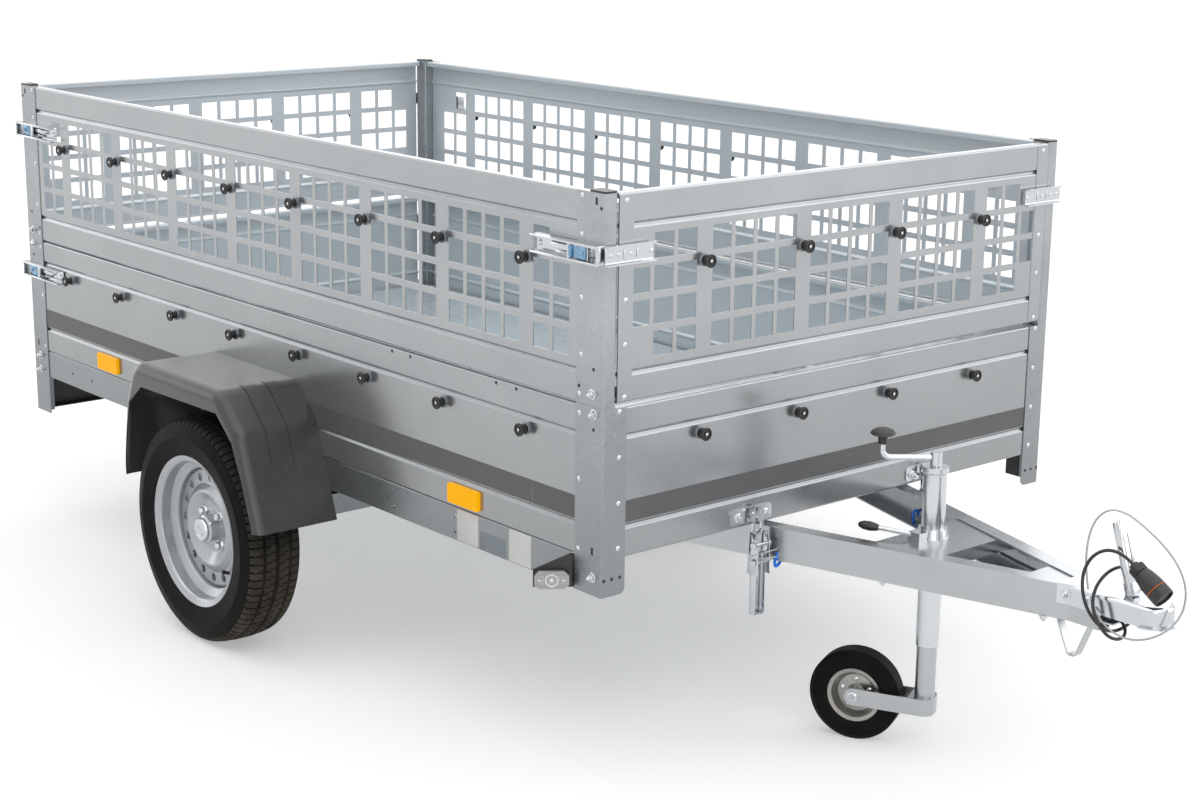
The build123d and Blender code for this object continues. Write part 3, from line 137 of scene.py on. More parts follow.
# Galvanised walls, floor, posts and frame ---------------------------------------------------------
# The walls and the floor are folded from pre-galvanised sheet, and the posts, rails and drawbar carry
# hot-dip zinc with a coarser bloom. All of it is left bare; the walls and the frame carry painted shade
# that darkens them a little, most of all low down.


def add(tree, kind, **settings):
    """A shader node; settings in small letters are its own, the others are its sockets' values."""
    node = tree.nodes.new("ShaderNode" + kind)
    for key, value in settings.items():
        if key.islower():
            setattr(node, key, value)
        else:
            node.inputs[key.replace("_", " ")].default_value = value
    return node


def link(source, *targets):
    """Feeds the source to each of the target sockets."""
    for target in targets:
        target.id_data.links.new(source, target)


def noise(tree, vector, scale, detail, roughness=0.5):
    """Noise over the vector: its node's outputs."""
    node = add(tree, "TexNoise", Scale=scale, Detail=detail, Roughness=roughness)
    link(vector, node.inputs["Vector"])
    return node.outputs


def between(tree, mask, first, second):
    """Colour that goes from first to second with the mask."""
    node = add(tree, "Mix", data_type="RGBA")
    link(mask, node.inputs[0])
    for socket, colour in ((node.inputs[6], first), (node.inputs[7], second)):
        if isinstance(colour, tuple):
            socket.default_value = (*colour, 1)
        else:
            link(colour, socket)
    return node.outputs[2]


def scaled(tree, mask, low, high, start=0.0, end=1.0):
    """The mask stretched from start..end to low..high."""
    node = add(tree, "MapRange", From_Min=start, From_Max=end, To_Min=low, To_Max=high)
    link(mask, node.inputs["Value"])
    return node.outputs[0]


def combined(tree, operation, first, second):
    node = add(tree, "Math", operation=operation)
    for socket, value in ((node.inputs[0], first), (node.inputs[1], second)):
        if isinstance(value, (int, float)):
            socket.default_value = value
        else:
            link(value, socket)
    return node.outputs[0]


def raised(tree, height, strength, depth):
    """A bump normal from a height."""
    node = add(tree, "Bump", Strength=strength, Distance=depth)
    link(height, node.inputs["Height"])
    return node.outputs[0]


def new_group(name, inputs, outputs):
    """A shader group; inputs are (name, kind, value), outputs are names of values."""
    group = bpy.data.node_groups.new(name, "ShaderNodeTree")
    for socket, kind, value in inputs:
        made = group.interface.new_socket(socket, in_out="INPUT", socket_type="NodeSocket" + kind)
        if value is not None:
            made.default_value = value
    for socket in outputs:
        group.interface.new_socket(socket, in_out="OUTPUT", socket_type="NodeSocketFloat")
    return group, group.nodes.new("NodeGroupInput").outputs, group.nodes.new("NodeGroupOutput").inputs


zinc_skin, given, puts = new_group(
    "zinc_skin",
    (("Vector", "Vector", None), ("Crystals", "Float", 60.0), ("Bloom", "Float", 0.3)),
    ("Tone", "Wave", "Painted_shade"),
)
SHADE_FULL_BELOW, SHADE_NONE_ABOVE = 0.38, 0.95  # heights between which the painted shade low down fades out
CRYSTAL_WARP = (0.012, 0.012, 0.012)
bent = add(zinc_skin, "VectorMath", operation="MULTIPLY_ADD")
crystals = add(zinc_skin, "TexVoronoi", feature="F1")
crystal_tone = add(zinc_skin, "SeparateColor")
height = add(zinc_skin, "SeparateXYZ")
link(noise(zinc_skin, given["Vector"], 30.0, 2.0)["Color"], bent.inputs[0])
bent.inputs[1].default_value = CRYSTAL_WARP
link(given["Vector"], bent.inputs[2], height.inputs[0])
link(bent.outputs[0], crystals.inputs["Vector"])
link(given["Crystals"], crystals.inputs["Scale"])
link(crystals.outputs["Color"], crystal_tone.inputs[0])
mottle = combined(zinc_skin, "MULTIPLY", crystal_tone.outputs[0], given["Bloom"])
drift = scaled(zinc_skin, noise(zinc_skin, given["Vector"], 3.2, 5.0, 0.6)["Fac"], 0.0, 0.7, 0.3, 0.7)
link(combined(zinc_skin, "ADD", mottle, drift), puts["Tone"])
link(noise(zinc_skin, given["Vector"], 2.6, 1.0)["Fac"], puts["Wave"])
link(scaled(zinc_skin, height.outputs["Z"], 1.0, 0.0, SHADE_FULL_BELOW, SHADE_NONE_ABOVE), puts["Painted_shade"])

handling, given, puts = new_group("handling", (("Vector", "Vector", None),), ("Scratches", "Smudges"))
SCRATCH_WAYS = (
    # turn, stretch: noise drawn out to fine lines along one of three ways
    ((0.3, 0.5, 0.2), (4, 160, 160)),
    ((1.1, 0.2, 0.9), (160, 5, 160)),
    ((0.2, 1.3, 0.4), (160, 160, 6)),
)
scratch_lines = []
for turn, stretch in SCRATCH_WAYS:
    drawn_out = add(handling, "Mapping", Rotation=turn, Scale=stretch)
    link(given["Vector"], drawn_out.inputs["Vector"])
    streaks = noise(handling, drawn_out.outputs[0], 1.0, 3.0, 0.7)["Fac"]
    scratch_lines.append(scaled(handling, streaks, 0.0, 1.0, 0.66, 0.74))
two_ways = combined(handling, "MAXIMUM", scratch_lines[0], scratch_lines[1])
link(combined(handling, "MAXIMUM", two_ways, scratch_lines[2]), puts["Scratches"])
smudge = noise(handling, given["Vector"], 9.0, 4.0)["Fac"]
link(scaled(handling, smudge, 0.0, 1.0, 0.40, 0.75), puts["Smudges"])

road_dust, given, puts = new_group(
    "road_dust",
    (("Vector", "Vector", None), ("Full below", "Float", 0.05), ("None above", "Float", 0.45)),
    ("Mask",),
)
axes = add(road_dust, "SeparateXYZ")
fade = add(road_dust, "MapRange", To_Min=1.0, To_Max=0.0)
link(given["Vector"], axes.inputs[0])
link(axes.outputs["Z"], fade.inputs["Value"])
link(given["Full below"], fade.inputs["From Min"])
link(given["None above"], fade.inputs["From Max"])
patches = scaled(road_dust, noise(road_dust, given["Vector"], 14.0, 6.0, 0.7)["Fac"], 0.0, 1.0, 0.35, 0.7)
link(combined(road_dust, "MULTIPLY", fade.outputs[0], patches), puts["Mask"])

# Mask of the walls' faces towards the load space, where painted light makes them paler
inner_face, given, puts = new_group(
    "inner_face",
    (("Vector", "Vector", None), ("Normal", "Vector", None), ("Centre", "Vector", (0, 0, 0))),
    ("Mask",),
)
inwards = add(inner_face, "VectorMath", operation="SUBTRACT")
level = add(inner_face, "VectorMath", operation="MULTIPLY")
facing = add(inner_face, "VectorMath", operation="DOT_PRODUCT")
link(given["Centre"], inwards.inputs[0])
link(given["Vector"], inwards.inputs[1])
link(inwards.outputs[0], level.inputs[0])
level.inputs[1].default_value = (1, 1, 0)
link(level.outputs[0], facing.inputs[0])
link(given["Normal"], facing.inputs[1])
link(scaled(inner_face, facing.outputs["Value"], 0.0, 1.0, 0.30, 0.45), puts["Mask"])


def grouped(tree, group, **values):
    """The group's node, fed with Object coordinates."""
    node = tree.nodes.new("ShaderNodeGroup")
    node.node_tree = group
    place = add(tree, "TexCoord")
    link(place.outputs["Object"], node.inputs["Vector"])
    for key, value in values.items():
        node.inputs[key.replace("_", " ")].default_value = value
    return node.outputs


def new_material(name):
    material = bpy.data.materials.new(name)
    material.use_nodes = True
    return material, material.node_tree, material.node_tree.nodes["Principled BSDF"].inputs


def times(colour, factor):
    """The colour made darker or lighter."""
    return tuple(min(1, factor * value) for value in colour)


def partly(tree, mask, share, first, second):
    """Colour that goes from first towards second by a share of the mask."""
    return between(tree, combined(tree, "MULTIPLY", mask, share), first, second)


def zinc(
    name, dark, light, crystals, rough, metallic,
    bloom=0.3, smudged=0.2, wave=0.0, painted_shade=0.0, scratched=0.12, inside=None,
):
    """Bare zinc: crystal bloom in its colour and gloss, fine scratches and handling marks, and painted shade
    that darkens it low down. A wall's face towards the load space takes the colour inside, painted light that
    makes it paler, and is less shiny."""
    material, tree, skin = new_material(name)
    skin_map = grouped(tree, zinc_skin, Crystals=crystals, Bloom=bloom)
    marks = grouped(tree, handling)
    colour = between(tree, skin_map["Tone"], dark, light)
    colour = partly(tree, marks["Smudges"], smudged, colour, times(dark, 0.82))
    # painted shade: the colour goes darker towards the bottom
    colour = partly(tree, skin_map["Painted_shade"], painted_shade, colour, times(dark, 0.5))
    colour = partly(tree, marks["Scratches"], scratched, colour, times(light, 1.2))
    gloss = scaled(tree, skin_map["Tone"], rough[0], rough[1], 0.2, 0.8)
    gloss = combined(tree, "ADD", gloss, combined(tree, "MULTIPLY", marks["Smudges"], 0.08))
    skin["Metallic"].default_value = metallic
    if inside:
        inner = grouped(tree, inner_face, Centre=(BODY_X, 0, 0))["Mask"]
        sense = add(tree, "TexCoord")
        link(sense.outputs["Normal"], inner.node.inputs["Normal"])
        # painted light: the face towards the load space turns paler and bluer
        colour = between(tree, inner, colour, inside)
        gloss = combined(tree, "ADD", gloss, combined(tree, "MULTIPLY", inner, 0.12))
        link(scaled(tree, inner, metallic, 0.35), skin["Metallic"])
    link(colour, skin["Base Color"])
    link(gloss, skin["Roughness"])
    link(raised(tree, combined(tree, "MULTIPLY", skin_map["Wave"], wave), 1.0, 1.0), skin["Normal"])
    return material


def dress(material, *names):
    """Gives CAD nodes their finish."""
    for name in names:
        for place in nodes[name].material_slots:
            place.material = material
        if not nodes[name].material_slots:
            nodes[name].data.materials.append(material)


wall_zinc = zinc(
    "wall_zinc", (0.40, 0.415, 0.425), (0.46, 0.475, 0.485), crystals=220.0, rough=(0.20, 0.25),
    metallic=0.76, bloom=0.06, smudged=0.10, wave=0.0016, painted_shade=0.50, inside=(0.62, 0.665, 0.695),
)
frame_zinc = zinc(
    "frame_zinc", (0.33, 0.35, 0.36), (0.45, 0.47, 0.485), crystals=110.0, rough=(0.22, 0.30), metallic=0.85,
    bloom=0.22, smudged=0.15, wave=0.0006, painted_shade=0.60,
)
leg_zinc = zinc(
    "leg_zinc", (0.42, 0.435, 0.445), (0.51, 0.525, 0.535), crystals=90.0, rough=(0.20, 0.27), metallic=0.9,
    bloom=0.10, smudged=0.15, wave=0.0006,
)
bright_zinc = zinc(
    "bright_zinc", (0.54, 0.56, 0.58), (0.66, 0.68, 0.70), crystals=140.0, rough=(0.12, 0.18), metallic=0.95,
    bloom=0.1, smudged=0.10,
)
# The load floor's zinc is paler and bluer than the walls': painted light for the load space
floor_zinc = zinc(
    "floor_zinc", (0.60, 0.67, 0.71), (0.67, 0.74, 0.78), crystals=150.0, rough=(0.24, 0.32), metallic=0.22,
    bloom=0.08, smudged=0.2, wave=0.0008,
)
dress(wall_zinc, "side_walls", "front_wall", "tailgate", "mesh_walls", "front_gate", "rear_gate")
dress(frame_zinc, "side_rails", "cross_members", "lower_posts", "upper_posts", "axle", "tip_pivots")
dress(leg_zinc, "drawbar_legs", "drawbar_plates", "rest_strap")
dress(bright_zinc, "front_gate_keepers", "rear_gate_keepers", "tailgate_keepers", "sill_hooks", "coupling")
dress(floor_zinc, "floor")

# Stripes, rivets, bolts and plates ----------------------------------------------------------------
# A dark film stripe is stuck along the lower walls. Blind rivets and zinc-plated bolts hold the walls to
# the posts, and blank paper labels and a tinted type plate are stuck on the right rail.
SIDE_OUT = 0.665  # outer faces of the posts
WALL_OUT = 0.663  # outer faces of the side walls
FRONT_OUT = 1.212  # outer faces of the front posts, and of the rear ones on the other side
FRONT_SHEET = 1.210


def deselect():
    bpy.ops.object.select_all(action="DESELECT")


def taken(piece):
    """Selects this piece alone and makes it the active one."""
    deselect()
    piece.select_set(True)
    bpy.context.view_layer.objects.active = piece
    return piece


def editing(on):
    bpy.ops.object.mode_set(mode="EDIT" if on else "OBJECT")


def named(name):
    piece = bpy.context.object
    piece.name = name
    return piece


def pick(piece, wanted):
    """Selects the faces that wanted(face) names, in edit mode."""
    mesh = bmesh.from_edit_mesh(piece.data)
    for face in mesh.faces:
        face.select_set(False)
    for face in mesh.faces:
        if wanted(face):
            face.select_set(True)
    bmesh.update_edit_mesh(piece.data)


def pick_edges(piece, wanted):
    mesh = bmesh.from_edit_mesh(piece.data)
    bpy.context.tool_settings.mesh_select_mode = (False, True, False)
    for edge in mesh.edges:
        edge.select_set(False)
    for edge in mesh.edges:
        if wanted(edge):
            edge.select_set(True)
    bmesh.update_edit_mesh(piece.data)


def turned(name, rings, sides=24, capped=True):
    """A lathe-turned piece round +Z; rings are (radius, height) from the bottom up."""
    deselect()
    radius, height = rings[0]
    bpy.ops.mesh.primitive_circle_add(
        vertices=sides, radius=radius, location=(0, 0, height), fill_type="NGON" if capped else "NOTHING"
    )
    piece = named(name)
    bpy.ops.object.transform_apply(location=True, rotation=True, scale=True)
    editing(True)
    bpy.ops.mesh.select_all(action="SELECT")
    for wider, higher in rings[1:]:
        bpy.ops.mesh.extrude_region_move(TRANSFORM_OT_translate={"value": (0, 0, higher - height)})
        grow = wider / radius
        bpy.ops.transform.resize(value=(grow, grow, 1), center_override=(0, 0, higher))
        radius, height = wider, higher
    bpy.ops.mesh.select_all(action="SELECT")
    bpy.ops.mesh.normals_make_consistent(inside=False)
    editing(False)
    return piece


def block(name, lowest, highest, rounding=0.0, steps=2):
    """A block between two corners, with its edges rounded, shaped further or joined with others."""
    deselect()
    low, high = Vector(lowest), Vector(highest)
    bpy.ops.mesh.primitive_cube_add(size=1, location=(low + high) / 2)
    piece = named(name)
    piece.scale = high - low
    bpy.ops.object.transform_apply(location=True, rotation=True, scale=True)
    if rounding:
        editing(True)
        bpy.ops.mesh.select_all(action="SELECT")
        bpy.ops.mesh.bevel(offset=rounding, segments=steps, affect="EDGES", clamp_overlap=True)
        editing(False)
    return piece


def joined(name, pieces):
    """Several parts made one piece."""
    deselect()
    for part in pieces:
        part.select_set(True)
    bpy.context.view_layer.objects.active = pieces[0]
    if len(pieces) > 1:
        bpy.ops.object.join()
    return named(name)


def aimed(point, outward, roll=0.0):
    """Where a part that was modelled round +Z goes, to stand at point and look outward."""
    facing = Vector(outward).to_track_quat("Z", "Y").to_matrix().to_4x4()
    return Matrix.Translation(point) @ facing @ Matrix.Rotation(roll, 4, "Z")


def placed(part, matrix):
    """Moves the part's mesh, so that its object stays at the origin."""
    part.data.transform(matrix)
    return part


def repeated(name, model, matrices, kept=False):
    """Copies of one part, moved and joined; mirrored ones get their faces turned back out."""
    copies = []
    for matrix in matrices:
        twin = model.copy()
        twin.data = model.data.copy()
        twin.data.transform(matrix)
        if matrix.determinant() < 0:
            twin.data.flip_normals()
        bpy.context.collection.objects.link(twin)
        copies.append(twin)
    if not kept:
        bpy.data.objects.remove(model)
    return joined(name, copies)


def strewn(name, model, places):
    """Copies of one small part at the (point, outward) places."""
    turns = [aimed(from_body(point), way, 0.4 * number) for number, (point, way) in enumerate(places)]
    return repeated(name, model, turns)


def fitted(piece, body, finish, smooth=40):
    """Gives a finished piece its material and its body."""
    taken(piece)
    bpy.ops.object.shade_smooth_by_angle(angle=radians(smooth))
    piece.data.materials.clear()
    piece.data.materials.append(finish)
    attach(piece, body)
    return piece


def studded(name, model, places, body):
    """Bright zinc rivets, bolts or screws at their places on a body."""
    return fitted(strewn(name, model, places), body, bright_zinc)


def both_sides(places):
    """The places and their mirror images on the left."""
    return places + [((x, -y, z), (a, -b, c)) for (x, y, z), (a, b, c) in places]


def both_ends(places):
    """The places and their mirror images at the other end of the body."""
    return places + [((-x, y, z), (-a, b, c)) for (x, y, z), (a, b, c) in places]


def film(name, clean, worn, rough, relief, bump=0.1):
    """Film, label or paint with smudges in its colour and gloss; returns its colour and marks too."""
    material, tree, skin = new_material(name)
    marks = grouped(tree, handling)
    colour = between(tree, marks["Smudges"], clean, worn)
    link(colour, skin["Base Color"])
    link(scaled(tree, marks["Smudges"], *rough), skin["Roughness"])
    link(raised(tree, marks["Smudges"], bump, relief), skin["Normal"])
    return material, colour, marks


KEPT = Matrix.Identity(4)
MIRROR_Y = Matrix.Scale(-1, 4, (0, 1, 0))
MIRROR_X = Matrix.Translation((2 * BODY_X, 0, 0)) @ Matrix.Scale(-1, 4, (1, 0, 0))
BOTH = (KEPT, MIRROR_Y)

stripe_film, colour, marks = film(
    "stripe_film", (0.103, 0.105, 0.109), (0.122, 0.124, 0.128), (0.42, 0.55), 0.0001
)
tree = stripe_film.node_tree
scratched = between(tree, marks["Scratches"], colour, (0.2, 0.2, 0.2))
link(scratched, tree.nodes["Principled BSDF"].inputs["Base Color"])

STRIPE_LOW, SIDE_STRIPE_TOP, END_STRIPE_TOP = 0.5425, 0.590, 0.587
SIDE_STRIPE, FRONT_STRIPE, TAIL_STRIPE = 1.129, 0.604, 0.594  # half lengths
FILM = 0.0003  # thickness above and below the sheet's face


def stripe(name, middle, half, top):
    """A stripe given by the middle and half size of its plan."""
    low = from_body((middle[0] - half[0], middle[1] - half[1], STRIPE_LOW))
    return block(name, low, from_body((middle[0] + half[0], middle[1] + half[1], top)))


stripes = [stripe("side", (0, side * WALL_OUT), (SIDE_STRIPE, FILM), SIDE_STRIPE_TOP) for side in (-1, 1)]
stripes.append(stripe("front", (FRONT_SHEET, 0), (FILM, FRONT_STRIPE), END_STRIPE_TOP))
fitted(joined("wall_stripes", stripes), "bed", stripe_film)
tail_stripe = stripe("tailgate_stripe", (-FRONT_OUT, 0), (FILM, TAIL_STRIPE), END_STRIPE_TOP)
fitted(tail_stripe, "tailgate", stripe_film)

RIVET = ((0.0054, -0.0004), (0.0054, 0.0005), (0.0046, 0.0014), (0.0028, 0.0022), (0.0012, 0.0025))
POST_RIVETS = both_ends(both_sides(
    [((1.141, -SIDE_OUT, z), (0, -1, 0)) for z in (0.797, 0.759, 0.627, 0.485)]
    + [((1.145, -SIDE_OUT, z), (0, -1, 0)) for z in (1.1815, 1.1075, 0.986, 0.875)]
)) + both_sides([((FRONT_OUT, -0.6235, z), (1, 0, 0)) for z in (0.7685, 0.677, 0.585, 0.494)])
LEAF_OUT = FRONT_OUT + 0.0012  # faces of the gates' and the tailgate's ends
GATE_RIVETS = both_sides([((LEAF_OUT, -0.613, z), (1, 0, 0)) for z in (1.175, 0.985, 0.8985, 0.796)])
REAR_GATE_RIVETS = [((-x, y, z), (-1, 0, 0)) for (x, y, z), way in GATE_RIVETS]
TAIL_RIVETS = both_sides([((-LEAF_OUT, -0.613, z), (-1, 0, 0)) for z in (0.762, 0.677, 0.585, 0.496)])
for name, places, body_name in (
    ("post_rivets", POST_RIVETS, "bed"),
    ("front_gate_rivets", GATE_RIVETS, "front_gate"),
    ("rear_gate_rivets", REAR_GATE_RIVETS, "rear_gate"),
    ("tailgate_rivets", TAIL_RIVETS, "tailgate"),
):
    studded(name, turned("rivet", RIVET, 10), places, body_name)


def hex_bolt(name):
    """Washer, hexagon head and the end of the thread."""
    washer = turned("washer", ((0.0105, -0.0006), (0.0105, 0.0013), (0.0098, 0.0018)), 20)
    head = turned("head", ((0.0078, 0.0012), (0.0078, 0.0064), (0.0069, 0.0076)), 6)
    thread = turned("thread", ((0.0042, 0.0070), (0.0042, 0.0120), (0.0034, 0.0130)), 12)
    return joined(name, [washer, head, thread])


POST_BOLTS = both_ends(both_sides([
    ((1.185, -SIDE_OUT, 0.7636), (0, -1, 0)),
    ((1.180, -SIDE_OUT, 0.8025), (0, -1, 0)),
])) + both_sides([
    ((1.185, -SIDE_OUT, 0.436), (0, -1, 0)),
    ((-1.173, -SIDE_OUT, 0.4547), (0, -1, 0)),
    ((-1.173, -SIDE_OUT, 0.4153), (0, -1, 0)),
])
studded("post_bolts", hex_bolt("bolt"), POST_BOLTS, "bed")

# Punched holes and slots in the posts are dark discs and slots on the sheet: painted shade for their insides;
# a few are left open for other fittings
hole_shade = film("hole_shade", (0.012, 0.012, 0.013), (0.03, 0.03, 0.031), (0.6, 0.85), 0.0002, bump=0.2)[0]
ROUND_HOLE = ((0.0038, -0.0004), (0.0038, 0.0002), (0.0030, 0.0003))
HOLES = both_ends(both_sides([
    ((1.184, -SIDE_OUT, 0.733), (0, -1, 0)),
    ((1.1395, -SIDE_OUT, 0.8125), (0, -1, 0)),
    ((1.1825, -SIDE_OUT, 0.8515), (0, -1, 0)),
    ((1.2005, -SIDE_OUT, 1.1625), (0, -1, 0)),
])) + both_sides([
    ((FRONT_OUT, -0.6585, 0.434), (1, 0, 0)),
    ((FRONT_OUT, -0.6385, 0.434), (1, 0, 0)),
    ((FRONT_OUT, -0.6175, 0.434), (1, 0, 0)),
    ((0.511, -WALL_OUT, 0.767), (0, -1, 0)),
    ((0.578, -WALL_OUT, 0.767), (0, -1, 0)),
    ((0.876, -WALL_OUT, 0.767), (0, -1, 0)),
    ((0.942, -WALL_OUT, 0.767), (0, -1, 0)),
    ((-0.992, -WALL_OUT, 0.435), (0, -1, 0)),
    ((-0.883, -WALL_OUT, 0.435), (0, -1, 0)),
])
punched = [strewn("round_holes", turned("hole", ROUND_HOLE, 12), HOLES)]
SLOT_WIDE = 0.0064
for x, z, tall in ((1.183, 0.489, 0.016), (1.1865, 1.175, 0.014)):
    for side in (-1, 1):
        for end in (-1, 1):
            low = from_body((end * x - SLOT_WIDE / 2, side * SIDE_OUT - FILM, z - tall / 2))
            high = from_body((end * x + SLOT_WIDE / 2, side * SIDE_OUT + FILM, z + tall / 2))
            punched.append(block("slot", low, high, 0.0002))
fitted(joined("punched_holes", punched), "bed", hole_shade)

# Blank labels and type plate on the right rail
paper = film("label_paper", (0.80, 0.80, 0.79), (0.70, 0.70, 0.69), (0.35, 0.5), 0.0001)[0]
tinted = film("tinted_plate", (0.24, 0.28, 0.31), (0.19, 0.22, 0.25), (0.3, 0.45), 0.0001)[0]


def plate(name, x_low, x_high, z_high):
    low = from_body((x_low, -WALL_OUT - 0.0005, 0.402))
    return block(name, low, from_body((x_high, -WALL_OUT + FILM, z_high)), 0.0002)


labels = joined("labels", [plate("rear", 0.742, 0.815, 0.4705), plate("front", 0.919, 0.991, 0.4705)])
fitted(labels, "bed", paper)
fitted(plate("type_plate", 0.822, 0.907, 0.441), "bed", tinted)

# Latches and keepers ------------------------------------------------------------------------------
# Over-centre latches pressed from zinc-plated sheet hold the gates and the tailgate. Each is a channel
# riveted to the post, with a blue-passivated tension plate in it, and a strap keeper on the leaf.
blue_zinc = zinc(
    "blue_zinc", (0.08, 0.20, 0.36), (0.34, 0.50, 0.64), crystals=60.0, rough=(0.14, 0.22), metallic=0.85,
    bloom=0.5, smudged=0.10,
)
LATCH_UP, LATCH_LOW = 1.075, 0.695
LATCH_FRONT = 1.211  # corner end of the front latches


def latch_part(name, x, y, z, rounding, steps=2):
    """Block of the right front upper latch: x runs back from its corner and y out from the post."""
    low = from_body((LATCH_FRONT - x[1], -SIDE_OUT - y[1], LATCH_UP + z[0]))
    high = from_body((LATCH_FRONT - x[0], -SIDE_OUT - y[0], LATCH_UP + z[1]))
    return block(name, low, high, rounding, steps)


def latch_button(x, z, out, size, tall):
    """Round dimple or rivet head on the latch."""
    button = turned("button", ((size, 0), (size, 0.4 * tall), (0.6 * size, tall)), 14)
    return placed(button, aimed(from_body((LATCH_FRONT - x, -SIDE_OUT - out, LATCH_UP + z)), (0, -1, 0)))


LOWERED = Matrix.Translation((0, 0, LATCH_LOW - LATCH_UP))
SIX_PLACES = [side @ end for side in BOTH for end in (KEPT, MIRROR_X, LOWERED @ MIRROR_X)]
channel = [
    latch_part("back", (0.0, 0.200), (0.0, 0.0025), (-0.017, 0.017), 0.0008, 1),
    latch_part("lower_flange", (0.0, 0.200), (0.0, 0.022), (-0.019, -0.0155), 0.0016),
    latch_part("upper_flange", (0.0, 0.200), (0.0, 0.022), (0.0155, 0.019), 0.0016),
    latch_part("lower_roll", (0.0, 0.200), (0.0175, 0.022), (-0.019, -0.0135), 0.0022),
    latch_part("upper_roll", (0.0, 0.200), (0.0175, 0.022), (0.0135, 0.019), 0.0022),
    latch_part("end", (0.0, 0.003), (0.0, 0.020), (-0.018, 0.018), 0.0012),
    latch_part("draw_loop", (0.088, 0.150), (0.006, 0.0105), (-0.003, 0.008), 0.002),
    latch_part("loop_lower", (0.088, 0.135), (0.005, 0.0095), (-0.011, -0.006), 0.002),
    latch_part("saddle", (0.030, 0.034), (0.0, 0.016), (-0.015, 0.015), 0.0015),
    latch_button(0.190, 0.0, 0.0025, 0.0065, 0.004),
    latch_button(0.146, 0.004, 0.0025, 0.007, 0.006),
    latch_button(0.014, 0.006, 0.0025, 0.0045, 0.003),
    latch_button(0.014, -0.007, 0.0025, 0.0045, 0.003),
]
roller = turned("roller", ((0.004, -0.0165), (0.0048, -0.014), (0.0048, 0.014), (0.004, 0.0165)), 14)
placed(roller, Matrix.Translation(from_body((LATCH_FRONT - 0.086, -SIDE_OUT - 0.015, LATCH_UP))))
latches = repeated("latch_channels", joined("latch", [*channel, roller]), SIX_PLACES)
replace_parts(fitted(latches, "bed", bright_zinc), "gate_latches")
tension_plate = joined("tension_plate", [
    latch_part("plate", (0.036, 0.078), (0.013, 0.0165), (-0.0128, 0.0128), 0.0016),
    latch_part("nose", (0.076, 0.084), (0.0125, 0.0205), (-0.0128, 0.0128), 0.003, 3),
    latch_button(0.048, 0.0, 0.0165, 0.0042, 0.003),
])
fitted(repeated("tension_plates", tension_plate, SIX_PLACES), "bed", blue_zinc)

# Rivets and pressed marks on the keepers' straps, from the corner inwards
KEEPER_FACE = FRONT_OUT + 0.0075
KEEPER_START = -0.664  # the strap's corner end


def keeper_marks(name, height, body_name, end):
    marks = []
    for across, size in ((0.006, 0.0045), (0.026, 0.005), (0.056, 0.0045), (0.108, 0.005)):
        button = turned("mark", ((size, -0.0004), (size, 0.0008), (0.6 * size, 0.0022)), 12)
        spot = from_body((KEEPER_FACE, KEEPER_START + across, height))
        marks.append(placed(button, aimed(spot, (1, 0, 0))))
    for across in (0.040, 0.072):
        low = from_body((KEEPER_FACE - 0.0004, KEEPER_START + across - 0.0018, height - 0.009))
        high = from_body((KEEPER_FACE + 0.0012, KEEPER_START + across + 0.0018, height + 0.009))
        marks.append(block("mark", low, high, 0.001))
    straps = repeated(name, joined("marks", marks), [side @ end for side in BOTH])
    fitted(straps, body_name, bright_zinc)


keeper_marks("front_keeper_marks", LATCH_UP, "front_gate", KEPT)
keeper_marks("rear_keeper_marks", LATCH_UP, "rear_gate", MIRROR_X)
keeper_marks("tail_keeper_marks", LATCH_LOW, "tailgate", MIRROR_X)

# Tie knobs, caps and mudguards --------------------------------------------------------------------
# Black nylon knobs are screwed to the walls for the net's cord. The mudguards are vacuum-formed from
# dark grey sheet with a fine leather grain.
grain, given, puts = new_group(
    "moulded_grain", (("Vector", "Vector", None), ("Size", "Float", 900.0)), ("Height", "Wear")
)
pebbles = add(grain, "TexVoronoi", feature="SMOOTH_F1")
link(given["Vector"], pebbles.inputs["Vector"])
link(given["Size"], pebbles.inputs["Scale"])
link(pebbles.outputs["Distance"], puts["Height"])
worn = noise(grain, given["Vector"], 7.0, 6.0, 0.65)["Fac"]
link(scaled(grain, worn, 0.0, 1.0, 0.3, 0.75), puts["Wear"])


def moulded(
    name, dark, pale, size, rough, relief, dusted=0.0, dust_colour=(0.2, 0.185, 0.16), painted_sheen=0.0, specular=0.5
):
    """Plastic or rubber with a moulded grain: paler where worn, dusty low down, and with a painted sheen that
    makes it paler at a flat angle.
    """
    material, tree, skin = new_material(name)
    texture = grouped(tree, grain, Size=size)
    marks = grouped(tree, handling)
    dust = grouped(tree, road_dust)
    colour = between(tree, texture["Wear"], dark, pale)
    colour = partly(tree, marks["Scratches"], 0.25, colour, tuple(2.2 * value + 0.02 for value in pale))
    colour = partly(tree, dust["Mask"], dusted, colour, dust_colour)
    if painted_sheen:
        # painted sheen: paler grey where the surface is seen at a flat angle
        slant = add(tree, "LayerWeight", Blend=0.5)
        sheen_mask = scaled(tree, slant.outputs["Facing"], 0.0, painted_sheen, 0.5, 0.85)
        colour = between(tree, sheen_mask, colour, (0.50, 0.51, 0.52))
    link(colour, skin["Base Color"])
    skin["Specular IOR Level"].default_value = specular
    gloss = scaled(tree, texture["Wear"], rough[0], rough[1])
    dust_gloss = combined(tree, "MULTIPLY", dust["Mask"], 0.3 * dusted)
    link(combined(tree, "ADD", gloss, dust_gloss), skin["Roughness"])
    link(raised(tree, texture["Height"], 0.3, relief), skin["Normal"])
    return material


black_nylon = moulded("black_nylon", (0.012, 0.012, 0.013), (0.022, 0.022, 0.023), 700, (0.30, 0.42), 0.0001)
guard_plastic = moulded(
    "guard_plastic", (0.050, 0.052, 0.053), (0.064, 0.066, 0.067), 1100, (0.27, 0.34), 0.00015, 0.2, painted_sheen=0.75
)
dress(black_nylon, "post_caps")
dress(guard_plastic, "mudguards")

